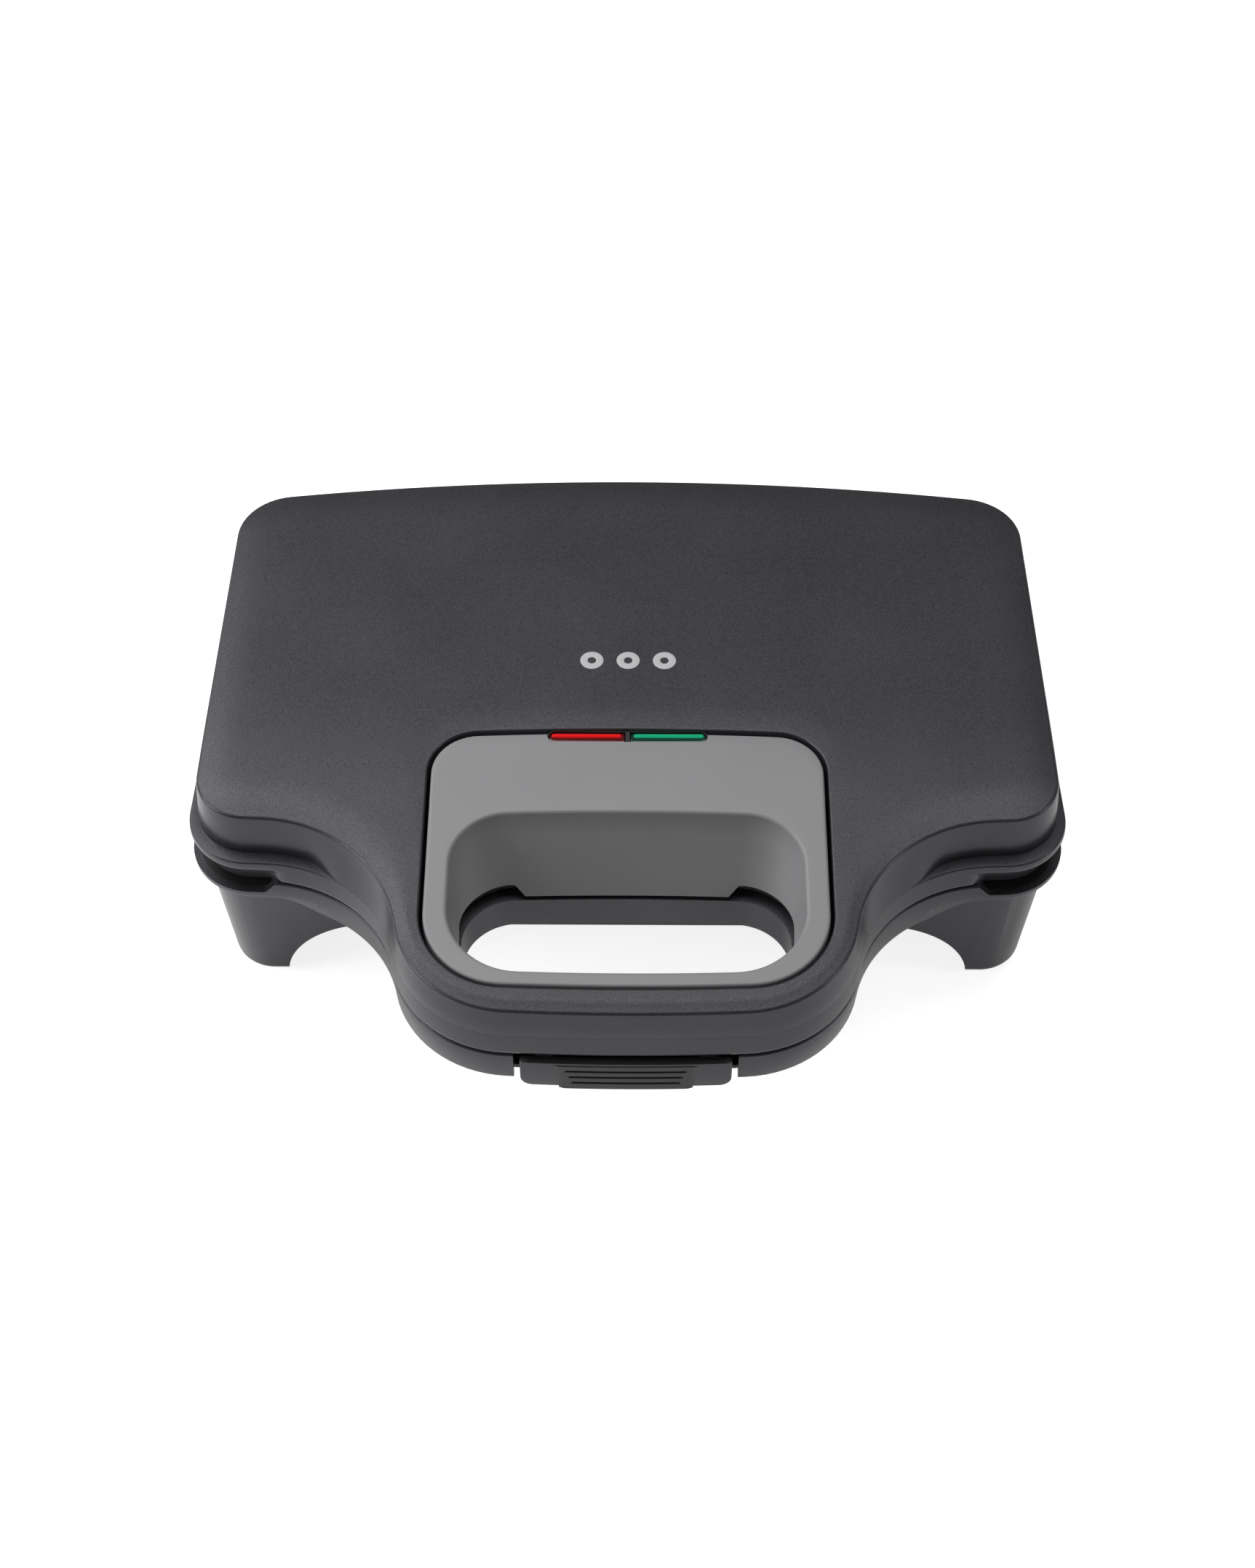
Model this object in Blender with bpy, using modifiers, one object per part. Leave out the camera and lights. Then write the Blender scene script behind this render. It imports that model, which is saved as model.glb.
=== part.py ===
# Clamshell doughnut maker for six rings, closed and latched, standing on its four feet.
# Metres, +Z up, +X to the right, -Y to the front (the handle side).
# The origin lies on the standing surface, in the middle of the appliance's footprint.
# All sizes below are in millimetres; MM turns them into metres.

import bmesh
import bpy
from math import acos, atan2, cos, hypot, pi, radians, sin, sqrt, tan
from mathutils import Matrix, Vector

MM = 0.001
COLLECTION = "donut_maker"

# ---------------------------------------------------------------- plan outlines
# Each form is a plan outline: a bowed front, two handle corners, two hollow waists,
# two ears, two sides and a bowed rear.
SIDE_HALF = 126.3           # half the lid's width, at its ears
REAR_RISE = 9.97            # how far the rear bows out over that half
LID = dict(front=-106.3, front_bow=640, handle_half=66, handle_r=34, waist_r=43,
           ear_front=-41.1, ear_half=SIDE_HALF, ear_r=15.5, rear_half=SIDE_HALF - 1.8, rear_r=18,
           rear=99.5, rear_bow=SIDE_HALF ** 2 / (2 * REAR_RISE))
LIP_EAR_STEP = 5.3          # how far the lip stands in front of the lid's ears
LIP_SIDE_STEP = 3.7         # how far the lip stands beyond the lid's sides
LIP_SIDE_STEP_REAR = 2.1    # the same at the rear corners
LIP_REAR_STEP = 2.2         # and beyond its rear
LIP_REAR_R_STEP = 2.0
LIP_EAR_R = 19
LIP_WAIST_R = 42
BODY_EAR_STEP = 2.7         # the base body in front of the lid's ears
BODY_EAR_R = 17
BODY_WAIST_STEP = 1.0       # the body's waists are this much tighter than the lid's
BODY_SIDE_STEP = 0.5        # and its sides lie this far outside the lid's
BODY_REAR_STEP = 0.5
EAR_RISE = 0.2              # keeps the line between waist and ear rising outwards

# ---------------------------------------------------------------- heights
ROOF_Z = 81.0               # crown of the lid
LEDGE_Z = 63.5              # top of the lid's lip
LID_BOTTOM_Z = 55.5
PARTING_GAP = 1.0
FLANGE_H = 6.5              # height of the base's flange
HANDLE_H = 11.5             # height of the base's half of the handle
BELLY_Z = 28.5              # underside of the body between the legs
FOOT_H = 1.2                # rubber showing under a leg
WALL = 2.2                  # moulded walls
GAP = 0.3                   # between pieces that touch
DRAFT = tan(radians(5))
HANDLE_FALL = tan(radians(4.3))
FALL_START_Y = -19.5        # in front of this the roof slopes down to the handle
FALL_BLEND = 14.0

RIM_Z = LID_BOTTOM_Z - PARTING_GAP
FLANGE_Z = RIM_Z - FLANGE_H
HANDLE_Z = RIM_Z - HANDLE_H

# ---------------------------------------------------------------- legs and arches
LEG_W = 17.0                # across the front of a leg, at its foot
LEG_D = 24.0                # along the side of a leg, at its foot
ARCH_R = 30.0
FOOT_R = 5.2
FOOT_PEG_R = 2.4
FOOT_PEG_H = 4.0

# ---------------------------------------------------------------- grip insert
INSERT = dict(half=57.5, front=-97.4, rear=-9.7, front_r=23.5, rear_r=14, bow=900)
INSERT_SLOT = 1.5           # shadow gap round the insert
RECESS = dict(half=50.7, front=-92.7, rear=-38.9, front_r=21, rear_r=17, bow=900)
GRIP_HOLE = dict(half=47.8, front=-91.2, rear=-52.0, front_r=20, rear_r=16, bow=900)
INSERT_T = 2.0
INSERT_BOTTOM_Z = 56.2
TAB_HALF = 31.0             # the rear wall's longer middle
TAB_DROP = 3.2

# ---------------------------------------------------------------- lamps
LAMP_HALF = 23.5            # half the length of the lamp slot
LAMP_W = 4.6
LAMP_SPLIT = 1.2            # divider between the two lenses
LAMP_DEPTH = 5.0
LAMP_Y = INSERT["rear"] - 1.2   # the slot straddles the insert's rear edge

# ---------------------------------------------------------------- plates
PLATE = dict(half=SIDE_HALF - 13.3, front=-36.5, rear=LID["rear"] - 12, front_r=14, rear_r=14, bow=4000)
PLATE_T = 3.0
PLATE_GAP = 0.6             # between the two plates when closed
RING_R = 19.0               # middle radius of a ring mould
RING_TUBE_R = 9.0           # radius of its section
RING_PITCH_X = 72.0
RING_PITCH_Y = 58.0
PLATE_MID = (PLATE["front"] + PLATE["rear"]) / 2
CUP_WALL = 2.6
ELEMENT_R = 3.0
PAN_T = 0.8
PAN_RIM_GROW = 3.0          # the lower pan's rim beyond the plate
PAN_WALL_GROW = -0.5
PAN_LOW_GROW = -1.6
BAR_T = 1.0                 # bars that clamp the element
SCREW_R = 1.5
SCREW_HEAD_T = 1.0

# ---------------------------------------------------------------- hinge
HINGE_Y = LID["rear"] + 6.7
HINGE_Z = LID_BOTTOM_Z - 0.5
HINGE_X = 72.0
KNUCKLE_R = 3.3
KNUCKLE_L = 16.0            # the lid's knuckle
LUG_L = 7.0                 # each of the base's two lugs
PIN_R = 1.5
LUG_GAP = 0.4               # between a knuckle and its lugs

# ---------------------------------------------------------------- latch
LATCH_HALF = 29.8
LATCH_TOP_Z = RIM_Z - 1.0
LATCH_BOTTOM_Z = HANDLE_Z - 1.5
LATCH_FRONT = LID["front"] - 2.8
LATCH_T = 2.3
LATCH_SIDE_GAP = 1.8
LATCH_PIVOT_Y = LID["front"] + 4.3
LATCH_PIVOT_Z = LID_BOTTOM_Z + 2.5
LATCH_PIN_R = 1.25
LATCH_BOSS_R = 2.4
ARM_X = 23.0
ARM_W = 5.0
GRIP_TOP_HALF = 20.5
GRIP_LOW_HALF = 19.0
GRIP_T = 1.5
GRIP_DROP = 1.5
POCKET_REAR_Y = LID["front"] + 7.5   # rear edge of the pocket that the latch hangs in
POCKET_SHELF_Y = LID["front"] + 3.1   # front edge of the shelf along the pocket's foot
POCKET_SHELF_T = 1.6
PIN_POST_T = 4.0            # posts on the lid frame that hold the latch pin
PIN_POST_GAP = 0.8
CATCH_HALF = 12.0
CATCH_T = 1.8

# ---------------------------------------------------------------- cord gland
GLAND_X = 30.0
GLAND_Z = 39.0
GLAND_R = 5.5
TERMINAL_SETBACK = 9.0      # from the rear wall's face to the front of the terminal block

# ---------------------------------------------------------------- steam vents and bottom cover
VENT_X = SIDE_HALF - 21.3
VENT_REAR_Y = -16.0
VENT_FLOOR_T = 1.8
VENT_W = 5.5
VENT_DROP = 4.3
BOTTOM = dict(half=SIDE_HALF - 34.3, front=-30, rear=LID["rear"] - 17.5, front_r=8, rear_r=8, bow=4000)
COVER_T = 1.8
COVER_LAP = 5.0             # the cover reaches this far past its opening
COVER_SCREW_INSET = 9.0
COVER_SCREW_R = 1.4

SEGS = dict(front=3, handle=7, waist=7, ear=6, corner=5, rear=4)
PANEL_CORNER_SEGS = 6
PANEL_BOW_SEGS = 3


def lid_grow(z):
    # The lid's wall leans out on its way down from the top edge.
    return (ROOF_Z - 3.5 - z) * DRAFT


LIP = dict(LID,
           front=LID["front"] - lid_grow(LEDGE_Z),
           handle_half=LID["handle_half"] + lid_grow(LEDGE_Z),
           handle_r=LID["handle_r"] + lid_grow(LEDGE_Z),
           waist_r=LIP_WAIST_R,
           ear_front=LID["ear_front"] - LIP_EAR_STEP,
           ear_half=LID["ear_half"] + LIP_SIDE_STEP,
           ear_r=LIP_EAR_R,
           rear_half=LID["rear_half"] + LIP_SIDE_STEP_REAR,
           rear_r=LID["rear_r"] + LIP_REAR_R_STEP,
           rear=LID["rear"] + LIP_REAR_STEP)
BODY = dict(LIP,
            waist_r=LID["waist_r"] - BODY_WAIST_STEP,
            ear_front=LID["ear_front"] - BODY_EAR_STEP,
            ear_half=LID["ear_half"] + BODY_SIDE_STEP,
            ear_r=BODY_EAR_R,
            rear_half=LID["rear_half"] - BODY_REAR_STEP,
            rear_r=LID["rear_r"],
            rear=LID["rear"] + BODY_REAR_STEP)


# ================================================================ plan geometry
def arc(cx, cy, r, a0, a1, n, first=True):
    start = 0 if first else 1
    return [(cx + r * cos(a0 + (a1 - a0) * i / n), cy + r * sin(a0 + (a1 - a0) * i / n))
            for i in range(start, n + 1)]


def mirrored(half):
    # A whole loop from its right half, which starts and ends on the middle line.
    return half + [(-x, y) for x, y in reversed(half[1:-1])]


def outline(form, grow=0.0):
    # A form's loop, counter-clockwise from the middle of the front, moved out by grow.
    f = form
    bow_y = f["front"] + f["front_bow"]
    hx = f["handle_half"] - f["handle_r"]
    hy = bow_y - sqrt((f["front_bow"] - f["handle_r"]) ** 2 - hx ** 2)
    wy = f["ear_front"] - f["waist_r"]
    wx = hx + sqrt((f["handle_r"] + f["waist_r"]) ** 2 - (wy - hy) ** 2)
    ex = f["ear_half"] - f["ear_r"]
    ey = f["ear_front"] + EAR_RISE + f["ear_r"]
    rx = f["rear_half"] - f["rear_r"]
    back_y = f["rear"] - f["rear_bow"]
    ry = back_y + sqrt((f["rear_bow"] - f["rear_r"]) ** 2 - rx ** 2)

    a_bow = atan2(hy - bow_y, hx)
    a_handle = atan2(wy - hy, wx - hx)
    waist_span = hypot(ex - wx, ey - wy)
    side_span = hypot(rx - ex, ry - ey)
    a_waist = atan2(ey - wy, ex - wx) + acos((f["waist_r"] + f["ear_r"]) / waist_span)
    a_side = atan2(ry - ey, rx - ex) - acos((f["ear_r"] - f["rear_r"]) / side_span)
    a_rear = atan2(ry - back_y, rx)
    half = arc(0, bow_y, f["front_bow"] + grow, -pi / 2, a_bow, SEGS["front"])
    half += arc(hx, hy, f["handle_r"] + grow, a_bow, a_handle, SEGS["handle"], False)
    half += arc(wx, wy, f["waist_r"] - grow, a_handle + pi, a_waist, SEGS["waist"], False)
    half += arc(ex, ey, f["ear_r"] + grow, a_waist - pi, a_side, SEGS["ear"])
    half += arc(rx, ry, f["rear_r"] + grow, a_side, a_rear, SEGS["corner"])
    half += arc(0, back_y, f["rear_bow"] + grow, a_rear, pi / 2, SEGS["rear"], False)
    return mirrored(half)


def panel(form, grow=0.0):
    # A four-cornered loop with bowed front and rear edges, moved out by grow.
    f = form
    fy = f["front"] + f["bow"]
    fx = f["half"] - f["front_r"]
    fcy = fy - sqrt((f["bow"] - f["front_r"]) ** 2 - fx ** 2)
    by = f["rear"] - f["bow"]
    bx = f["half"] - f["rear_r"]
    bcy = by + sqrt((f["bow"] - f["rear_r"]) ** 2 - bx ** 2)
    a_front = atan2(fcy - fy, fx)
    a_rear = atan2(bcy - by, bx)
    half = arc(0, fy, f["bow"] + grow, -pi / 2, a_front, PANEL_BOW_SEGS)
    half += arc(fx, fcy, f["front_r"] + grow, a_front, 0, PANEL_CORNER_SEGS, False)
    half += arc(bx, bcy, f["rear_r"] + grow, 0, a_rear, PANEL_CORNER_SEGS)
    half += arc(0, by, f["bow"] + grow, a_rear, pi / 2, PANEL_BOW_SEGS, False)
    return mirrored(half)


def roof(y):
    # Height of the lid's top: level, then falling towards the handle.
    t = FALL_START_Y - y
    if t <= -FALL_BLEND:
        run = 0.0
    elif t >= FALL_BLEND:
        run = t
    else:
        run = (t + FALL_BLEND) ** 2 / (4 * FALL_BLEND)
    return ROOF_Z - 0.2 - HANDLE_FALL * run


def at(loop, z):
    # A loop lifted to a height, which may be a function of y.
    height = z if callable(z) else (lambda y: z)
    return [(x, y, height(y)) for x, y in loop]


def below_roof(drop):
    return lambda y: roof(y) - drop


# ================================================================ objects
def clear_scene():
    for obj in list(bpy.data.objects):
        bpy.data.objects.remove(obj, do_unlink=True)


def collection(name):
    found = bpy.data.collections.get(name) or bpy.data.collections.new(name)
    if found.name not in bpy.context.scene.collection.children:
        bpy.context.scene.collection.children.link(found)
    return found


def material(name, rgb, roughness, metallic=0.0):
    mat = bpy.data.materials.new(name)
    mat.use_nodes = True
    mat.diffuse_color = (*rgb, 1)
    shader = mat.node_tree.nodes["Principled BSDF"]
    shader.inputs["Base Color"].default_value = (*rgb, 1)
    shader.inputs["Roughness"].default_value = roughness
    shader.inputs["Metallic"].default_value = metallic
    return mat


def axis_empty(name, y, z, parent=None):
    empty = bpy.data.objects.new(name, None)
    collection(COLLECTION).objects.link(empty)
    empty.location = (0, y * MM, z * MM)
    if parent:
        empty.parent = parent
        empty.matrix_parent_inverse = Matrix.Translation(-world_place(parent))
    return empty


def world_place(empty):
    # Where an axis empty stands; its own parent's shift is cancelled by the parent inverse.
    return Vector(empty.location)


def new_object(name, bm, axis=None, mat=None, cutter=False):
    bmesh.ops.recalc_face_normals(bm, faces=bm.faces)
    mesh = bpy.data.meshes.new(name)
    bm.to_mesh(mesh)
    bm.free()
    obj = bpy.data.objects.new(name, mesh)
    return place(obj, axis, mat, cutter)


def place(obj, axis=None, mat=None, cutter=False):
    collection("cutters" if cutter else COLLECTION).objects.link(obj)
    if cutter:
        obj.hide_render = True
        obj.display_type = "WIRE"
    if mat:
        obj.data.materials.append(mat)
    if axis:
        obj.parent = axis
        obj.matrix_parent_inverse = Matrix.Translation(-world_place(axis))
    obj.data.shade_smooth()
    obj.data.set_sharp_from_angle(angle=radians(35))
    return obj


def boolean(obj, tool, operation):
    mod = obj.modifiers.new(tool.name, "BOOLEAN")
    mod.operation = operation
    mod.solver = "EXACT"
    mod.object = tool


def cut(obj, *tools):
    for tool in tools:
        boolean(obj, tool, "DIFFERENCE")


def join(obj, *tools):
    for tool in tools:
        boolean(obj, tool, "UNION")


# ================================================================ shapes
def cover(bm, loop, columns, height):
    # Closes a mirrored loop with strips that run from its right side to its left.
    n = len(loop)
    rows = []
    for i in range(1, n // 2):
        right, left = loop[i], loop[n - i]
        row = [right]
        for k in range(1, columns):
            p = right.co.lerp(left.co, k / columns)
            p.z = height(p.x / MM, p.y / MM) * MM
            row.append(bm.verts.new(p))
        row.append(left)
        rows.append(row)
    for low, high in zip(rows, rows[1:]):
        for k in range(columns):
            bm.faces.new((low[k], low[k + 1], high[k + 1], high[k]))
    for tip, row in ((loop[0], rows[0]), (loop[n // 2], rows[-1])):
        for k in range(columns):
            bm.faces.new((tip, row[k], row[k + 1]))


def loft(name, rings, columns=1, first_height=None, last_height=None, closed=False, **place_as):
    # One body through loops of equal count; the ends are covered, or joined when closed.
    bm = bmesh.new()
    loops = [[bm.verts.new((x * MM, y * MM, z * MM)) for x, y, z in ring] for ring in rings]
    pairs = list(zip(loops, loops[1:]))
    if closed:
        pairs.append((loops[-1], loops[0]))
    n = len(loops[0])
    for a, b in pairs:
        for i in range(n):
            j = (i + 1) % n
            bm.faces.new((a[i], a[j], b[j], b[i]))
    if not closed:
        for end, height in ((loops[0], first_height), (loops[-1], last_height)):
            if height:
                cover(bm, end, columns, height)
            else:
                bm.faces.new(end)
    return new_object(name, bm, **place_as)


def prism(name, loop, z0, z1, **place_as):
    # A flat outline extruded up from z0 to z1.
    bm = bmesh.new()
    base = bm.faces.new([bm.verts.new((x * MM, y * MM, z0 * MM)) for x, y in loop])
    out = bmesh.ops.extrude_face_region(bm, geom=[base])
    top = [v for v in out["geom"] if isinstance(v, bmesh.types.BMVert)]
    bmesh.ops.translate(bm, verts=top, vec=(0, 0, (z1 - z0) * MM))
    return new_object(name, bm, **place_as)


def side_prism(name, loop, x0, x1, axis_letter="x", **place_as):
    # An outline drawn in a side view, (along, z), extruded across from x0 to x1.
    bm = bmesh.new()
    swap = (lambda u, v, w: (w, u, v)) if axis_letter == "x" else (lambda u, v, w: (u, w, v))
    low = [bm.verts.new(Vector(swap(u, v, x0)) * MM) for u, v in loop]
    base = bm.faces.new(low)
    out = bmesh.ops.extrude_face_region(bm, geom=[base])
    moved = [v for v in out["geom"] if isinstance(v, bmesh.types.BMVert)]
    bmesh.ops.translate(bm, verts=moved, vec=Vector(swap(0, 0, x1 - x0)) * MM)
    return new_object(name, bm, **place_as)


def box(name, x0, x1, y0, y1, z0, z1, **place_as):
    bm = bmesh.new()
    bmesh.ops.create_cube(bm, size=1.0)
    bmesh.ops.scale(bm, verts=bm.verts, vec=Vector((x1 - x0, y1 - y0, z1 - z0)) * MM)
    middle = Vector((x0 + x1, y0 + y1, z0 + z1)) * MM / 2
    bmesh.ops.translate(bm, verts=bm.verts, vec=middle)
    return new_object(name, bm, **place_as)


def cylinder(name, centre, r, length, along="z", sides=20, r_top=None, **place_as):
    # A cylinder or cone whose middle is at centre.
    bm = bmesh.new()
    turn = {"z": Matrix(), "x": Matrix.Rotation(pi / 2, 4, "Y"), "y": Matrix.Rotation(-pi / 2, 4, "X")}
    where = Matrix.Translation(Vector(centre) * MM) @ turn[along]
    top = r if r_top is None else r_top
    bmesh.ops.create_cone(bm, cap_ends=True, segments=sides, radius1=r * MM, radius2=top * MM,
                          depth=length * MM, matrix=where)
    return new_object(name, bm, **place_as)


def turned(name, profile, centre, along="z", steps=24, **place_as):
    # A closed profile of (radius, height) points turned about an axis by a Screw modifier.
    mesh = bpy.data.meshes.new(name)
    verts = [(r * MM, 0, h * MM) for r, h in profile]
    count = len(verts)
    mesh.from_pydata(verts, [(i, (i + 1) % count) for i in range(count)], [])
    obj = bpy.data.objects.new(name, mesh)
    place(obj, **place_as)
    screw = obj.modifiers.new("turn", "SCREW")
    screw.steps = steps
    screw.render_steps = steps
    screw.use_merge_vertices = True
    screw.merge_threshold = 0.00001
    turn = {"z": Matrix(), "y": Matrix.Rotation(-pi / 2, 4, "X")}
    obj.matrix_basis = Matrix.Translation(Vector(centre) * MM) @ turn[along]
    return obj


def rod(name, points, r, **place_as):
    # A round bar bent through points, with closed ends.
    curve = bpy.data.curves.new(name, "CURVE")
    curve.dimensions = "3D"
    curve.bevel_depth = r * MM
    curve.bevel_resolution = 2
    curve.use_fill_caps = True
    spline = curve.splines.new("POLY")
    spline.points.add(len(points) - 1)
    for point, co in zip(spline.points, points):
        point.co = (*(Vector(co) * MM), 1)
    obj = bpy.data.objects.new(name, curve)
    axis, mat = place_as.get("axis"), place_as.get("mat")
    collection(COLLECTION).objects.link(obj)
    curve.materials.append(mat)
    if axis:
        obj.parent = axis
        obj.matrix_parent_inverse = Matrix.Translation(-world_place(axis))
    return obj


# ================================================================ lid
def lid_housing(mat, axis):
    def inner_roof(x, y):
        return roof(y) - WALL

    lip_low = 0.6
    rings = [
        at(outline(LID, -12), below_roof(0.25)),
        at(outline(LID, -5), below_roof(0.9)),
        at(outline(LID, -1.6), below_roof(1.7)),
        at(outline(LID, -0.4), below_roof(2.3)),
        at(outline(LID, 0), below_roof(3.3)),
        at(outline(LID, lid_grow(LEDGE_Z)), LEDGE_Z),
        at(outline(LIP, 0.02), LEDGE_Z - 0.2),
        at(outline(LIP, lip_low), LID_BOTTOM_Z + 1.2),
        at(outline(LIP, lip_low - 0.8), LID_BOTTOM_Z),
        at(outline(LIP, -WALL), LID_BOTTOM_Z),
        at(outline(LIP, -WALL), LEDGE_Z - WALL - 0.2),
        at(outline(LID, lid_grow(LEDGE_Z) - WALL), LEDGE_Z - WALL),
        at(outline(LID, -WALL), below_roof(WALL + 3.3)),
        at(outline(LID, -12), below_roof(WALL + 0.25)),
    ]
    lid = loft("lid_housing", rings, 4, lambda x, y: roof(y), inner_roof, mat=mat, axis=axis)
    root = hinge_root(HINGE_X + KNUCKLE_L / 2)
    for side, sign in (("left", -1), ("right", 1)):
        knuckle = hinge_barrel(f"lid_knuckle_{side}", sign * HINGE_X, KNUCKLE_L, axis)
        arm = side_prism(f"lid_knuckle_arm_{side}",
                         [(HINGE_Y + 2.6, HINGE_Z + 1.6), (HINGE_Y - 0.6, LEDGE_Z - 1.2),
                          (root, LEDGE_Z - 1.2), (root, LID_BOTTOM_Z + 0.6),
                          (HINGE_Y - 2.2, LID_BOTTOM_Z + 0.6), (HINGE_Y - 1.0, HINGE_Z + 2.4)],
                         sign * HINGE_X - KNUCKLE_L / 2, sign * HINGE_X + KNUCKLE_L / 2,
                         axis=axis, cutter=True)
        join(lid, arm, knuckle)
        cut(lid, hinge_bore(f"lid_knuckle_bore_{side}", sign * HINGE_X, KNUCKLE_L + 2, axis))
    opening = prism("insert_opening", panel(INSERT, INSERT_SLOT), INSERT_BOTTOM_Z, ROOF_Z + 5,
                    axis=axis, cutter=True)
    cut(lid, opening)
    return lid


def hinge_root(x):
    # Just inside the rear wall's outer face at x from the middle; the wall is bowed.
    return LIP["rear"] - x ** 2 / (2 * LIP["rear_bow"]) - 0.6


def hinge_barrel(name, x, length, axis):
    centre = (x, HINGE_Y, HINGE_Z)
    return cylinder(name, centre, KNUCKLE_R, length, "x", 18, axis=axis, cutter=True)


def hinge_bore(name, x, length, axis):
    centre = (x, HINGE_Y, HINGE_Z)
    return cylinder(name, centre, PIN_R + GAP, length, "x", 18, axis=axis, cutter=True)


def lid_frame(mat, axis):
    # Inner moulding: a deck inside the lip, open for the cooking plate and the grip.
    low, high = LID_BOTTOM_Z + 0.7, LID_BOTTOM_Z + 2.9
    frame = prism("lid_frame", outline(LIP, -WALL - GAP), low, high, mat=mat, axis=axis)
    opening = prism("lid_plate_opening", panel(PLATE, GAP), low - 5, high + 5,
                    axis=axis, cutter=True)
    wall_lean = (RECESS["rear"] - GRIP_HOLE["rear"]) / (roof(RECESS["rear"]) - INSERT_BOTTOM_Z)
    grip_form = dict(GRIP_HOLE, rear=GRIP_HOLE["rear"] + wall_lean * (high - INSERT_BOTTOM_Z))
    grip = prism("lid_frame_grip", panel(grip_form, INSERT_T + GAP), low - 5, high + 5,
                 axis=axis, cutter=True)
    slot_half = ARM_X + ARM_W / 2 + PIN_POST_GAP
    slot = box("lid_frame_latch_slot", -slot_half, slot_half, LID["front"] - 5,
               LATCH_PIVOT_Y + LATCH_BOSS_R + 1, low - 5, high + 5, axis=axis, cutter=True)
    cut(frame, opening, grip, slot)
    for sign, side in ((-1, "left"), (1, "right")):
        x0, x1 = sorted((sign * slot_half, sign * (slot_half + PIN_POST_T)))
        post = box(f"latch_pin_post_{side}", x0, x1, LATCH_PIVOT_Y - LATCH_BOSS_R,
                   LATCH_PIVOT_Y + LATCH_BOSS_R, low + 0.5, LATCH_PIVOT_Z + LATCH_BOSS_R,
                   axis=axis, cutter=True)
        join(frame, post)
    seat_length = 2 * (slot_half + PIN_POST_T) + 4
    cut(frame, cylinder("latch_pin_seat", (0, LATCH_PIVOT_Y, LATCH_PIVOT_Z), LATCH_PIN_R + GAP,
                        seat_length, "x", 14, axis=axis, cutter=True))
    return frame


def handle_insert(mat, axis):
    # Panel flush with the roof, then the funnel of the finger hole, 2 mm thick throughout.
    def top(drop):
        return lambda y: roof(y) - 0.5 - drop

    rings = [
        at(panel(INSERT, -1.0), top(0)),
        at(panel(INSERT), top(1.0)),
        at(panel(INSERT), top(INSERT_T + 1.5)),
        at(panel(INSERT, -INSERT_T), top(INSERT_T + 1.5)),
        at(panel(RECESS, INSERT_T + 0.4), top(INSERT_T)),
        at(panel(RECESS, INSERT_T - 1.0), top(INSERT_T + 2.2)),
        at(panel(GRIP_HOLE, INSERT_T), INSERT_BOTTOM_Z),
        at(panel(GRIP_HOLE), INSERT_BOTTOM_Z),
        at(panel(RECESS, -0.9), top(2.6)),
        at(panel(RECESS, -0.1), top(0.9)),
        at(panel(RECESS, 0.9), top(0.15)),
        at(panel(RECESS, 2.0), top(0)),
    ]
    insert = loft("handle_insert", rings, closed=True, mat=mat, axis=axis)
    for sign, side in ((-1, "left"), (1, "right")):
        corner = box(f"insert_tab_{side}", *sorted((sign * TAB_HALF, sign * (TAB_HALF + 40))),
                     GRIP_HOLE["rear"] - 18, GRIP_HOLE["rear"] + 12, INSERT_BOTTOM_Z - 5,
                     INSERT_BOTTOM_Z + TAB_DROP, axis=axis, cutter=True)
        cut(insert, corner)
    slot = lamp_bar("insert_lamp_slot", (-LAMP_HALF - GAP, LAMP_HALF + GAP), LAMP_W / 2 + GAP,
                    (ROOF_Z - 12, ROOF_Z + 5), axis=axis, cutter=True)
    cut(insert, slot)
    return insert


def lamp_bar(name, ends, r, heights, square_left=False, square_right=False, **place_as):
    # A bar with round ends; an end can be square.
    x0, x1 = ends
    low, high = LAMP_Y - r, LAMP_Y + r
    round_right = arc(x1 - r, LAMP_Y, r, -pi / 2, pi / 2, 6)
    round_left = arc(x0 + r, LAMP_Y, r, pi / 2, pi * 1.5, 6)
    loop = [(x1, low), (x1, high)] if square_right else round_right
    loop = loop + ([(x0, high), (x0, low)] if square_left else round_left)
    return prism(name, loop, *heights, **place_as)


def lamps(mats, axis):
    top = roof(LAMP_Y) - 0.1
    low = top - LAMP_DEPTH
    r = LAMP_W / 2 - 0.2
    split = LAMP_SPLIT / 2 + GAP
    lamp_bar("red_lamp_lens", (-LAMP_HALF, -split), r, (low, top), square_right=True,
             axis=axis, mat=mats["red"])
    lamp_bar("green_lamp_lens", (split, LAMP_HALF), r, (low, top), square_left=True,
             axis=axis, mat=mats["green"])
    holder_top = low - GAP
    holder = box("lamp_holder", -LAMP_HALF - 4, LAMP_HALF + 4, LAMP_Y - 4, LAMP_Y + 4,
                 holder_top - 6, holder_top, mat=mats["black"], axis=axis)
    fin = box("lamp_divider_fin", -LAMP_SPLIT / 2, LAMP_SPLIT / 2, LAMP_Y - r, LAMP_Y + r,
              holder_top - 1, top - 0.4, axis=axis, cutter=True)
    join(holder, fin)
    for name, sign in (("red_neon_lamp", -1), ("green_neon_lamp", 1)):
        x = sign * LAMP_HALF / 2
        z = holder_top - 3.0
        bore = cylinder(f"{name}_bore", (x, LAMP_Y, z), 2.2, 18, "x", 14, axis=axis, cutter=True)
        mouth = box(f"{name}_mouth", x - 9, x + 9, LAMP_Y - 2.0, LAMP_Y + 2.0, z, holder_top + 1,
                    axis=axis, cutter=True)
        cut(holder, bore, mouth)
        cylinder(name, (x, LAMP_Y, z), 1.8, 14, "x", 14, mat=mats["neon"], axis=axis)


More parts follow.
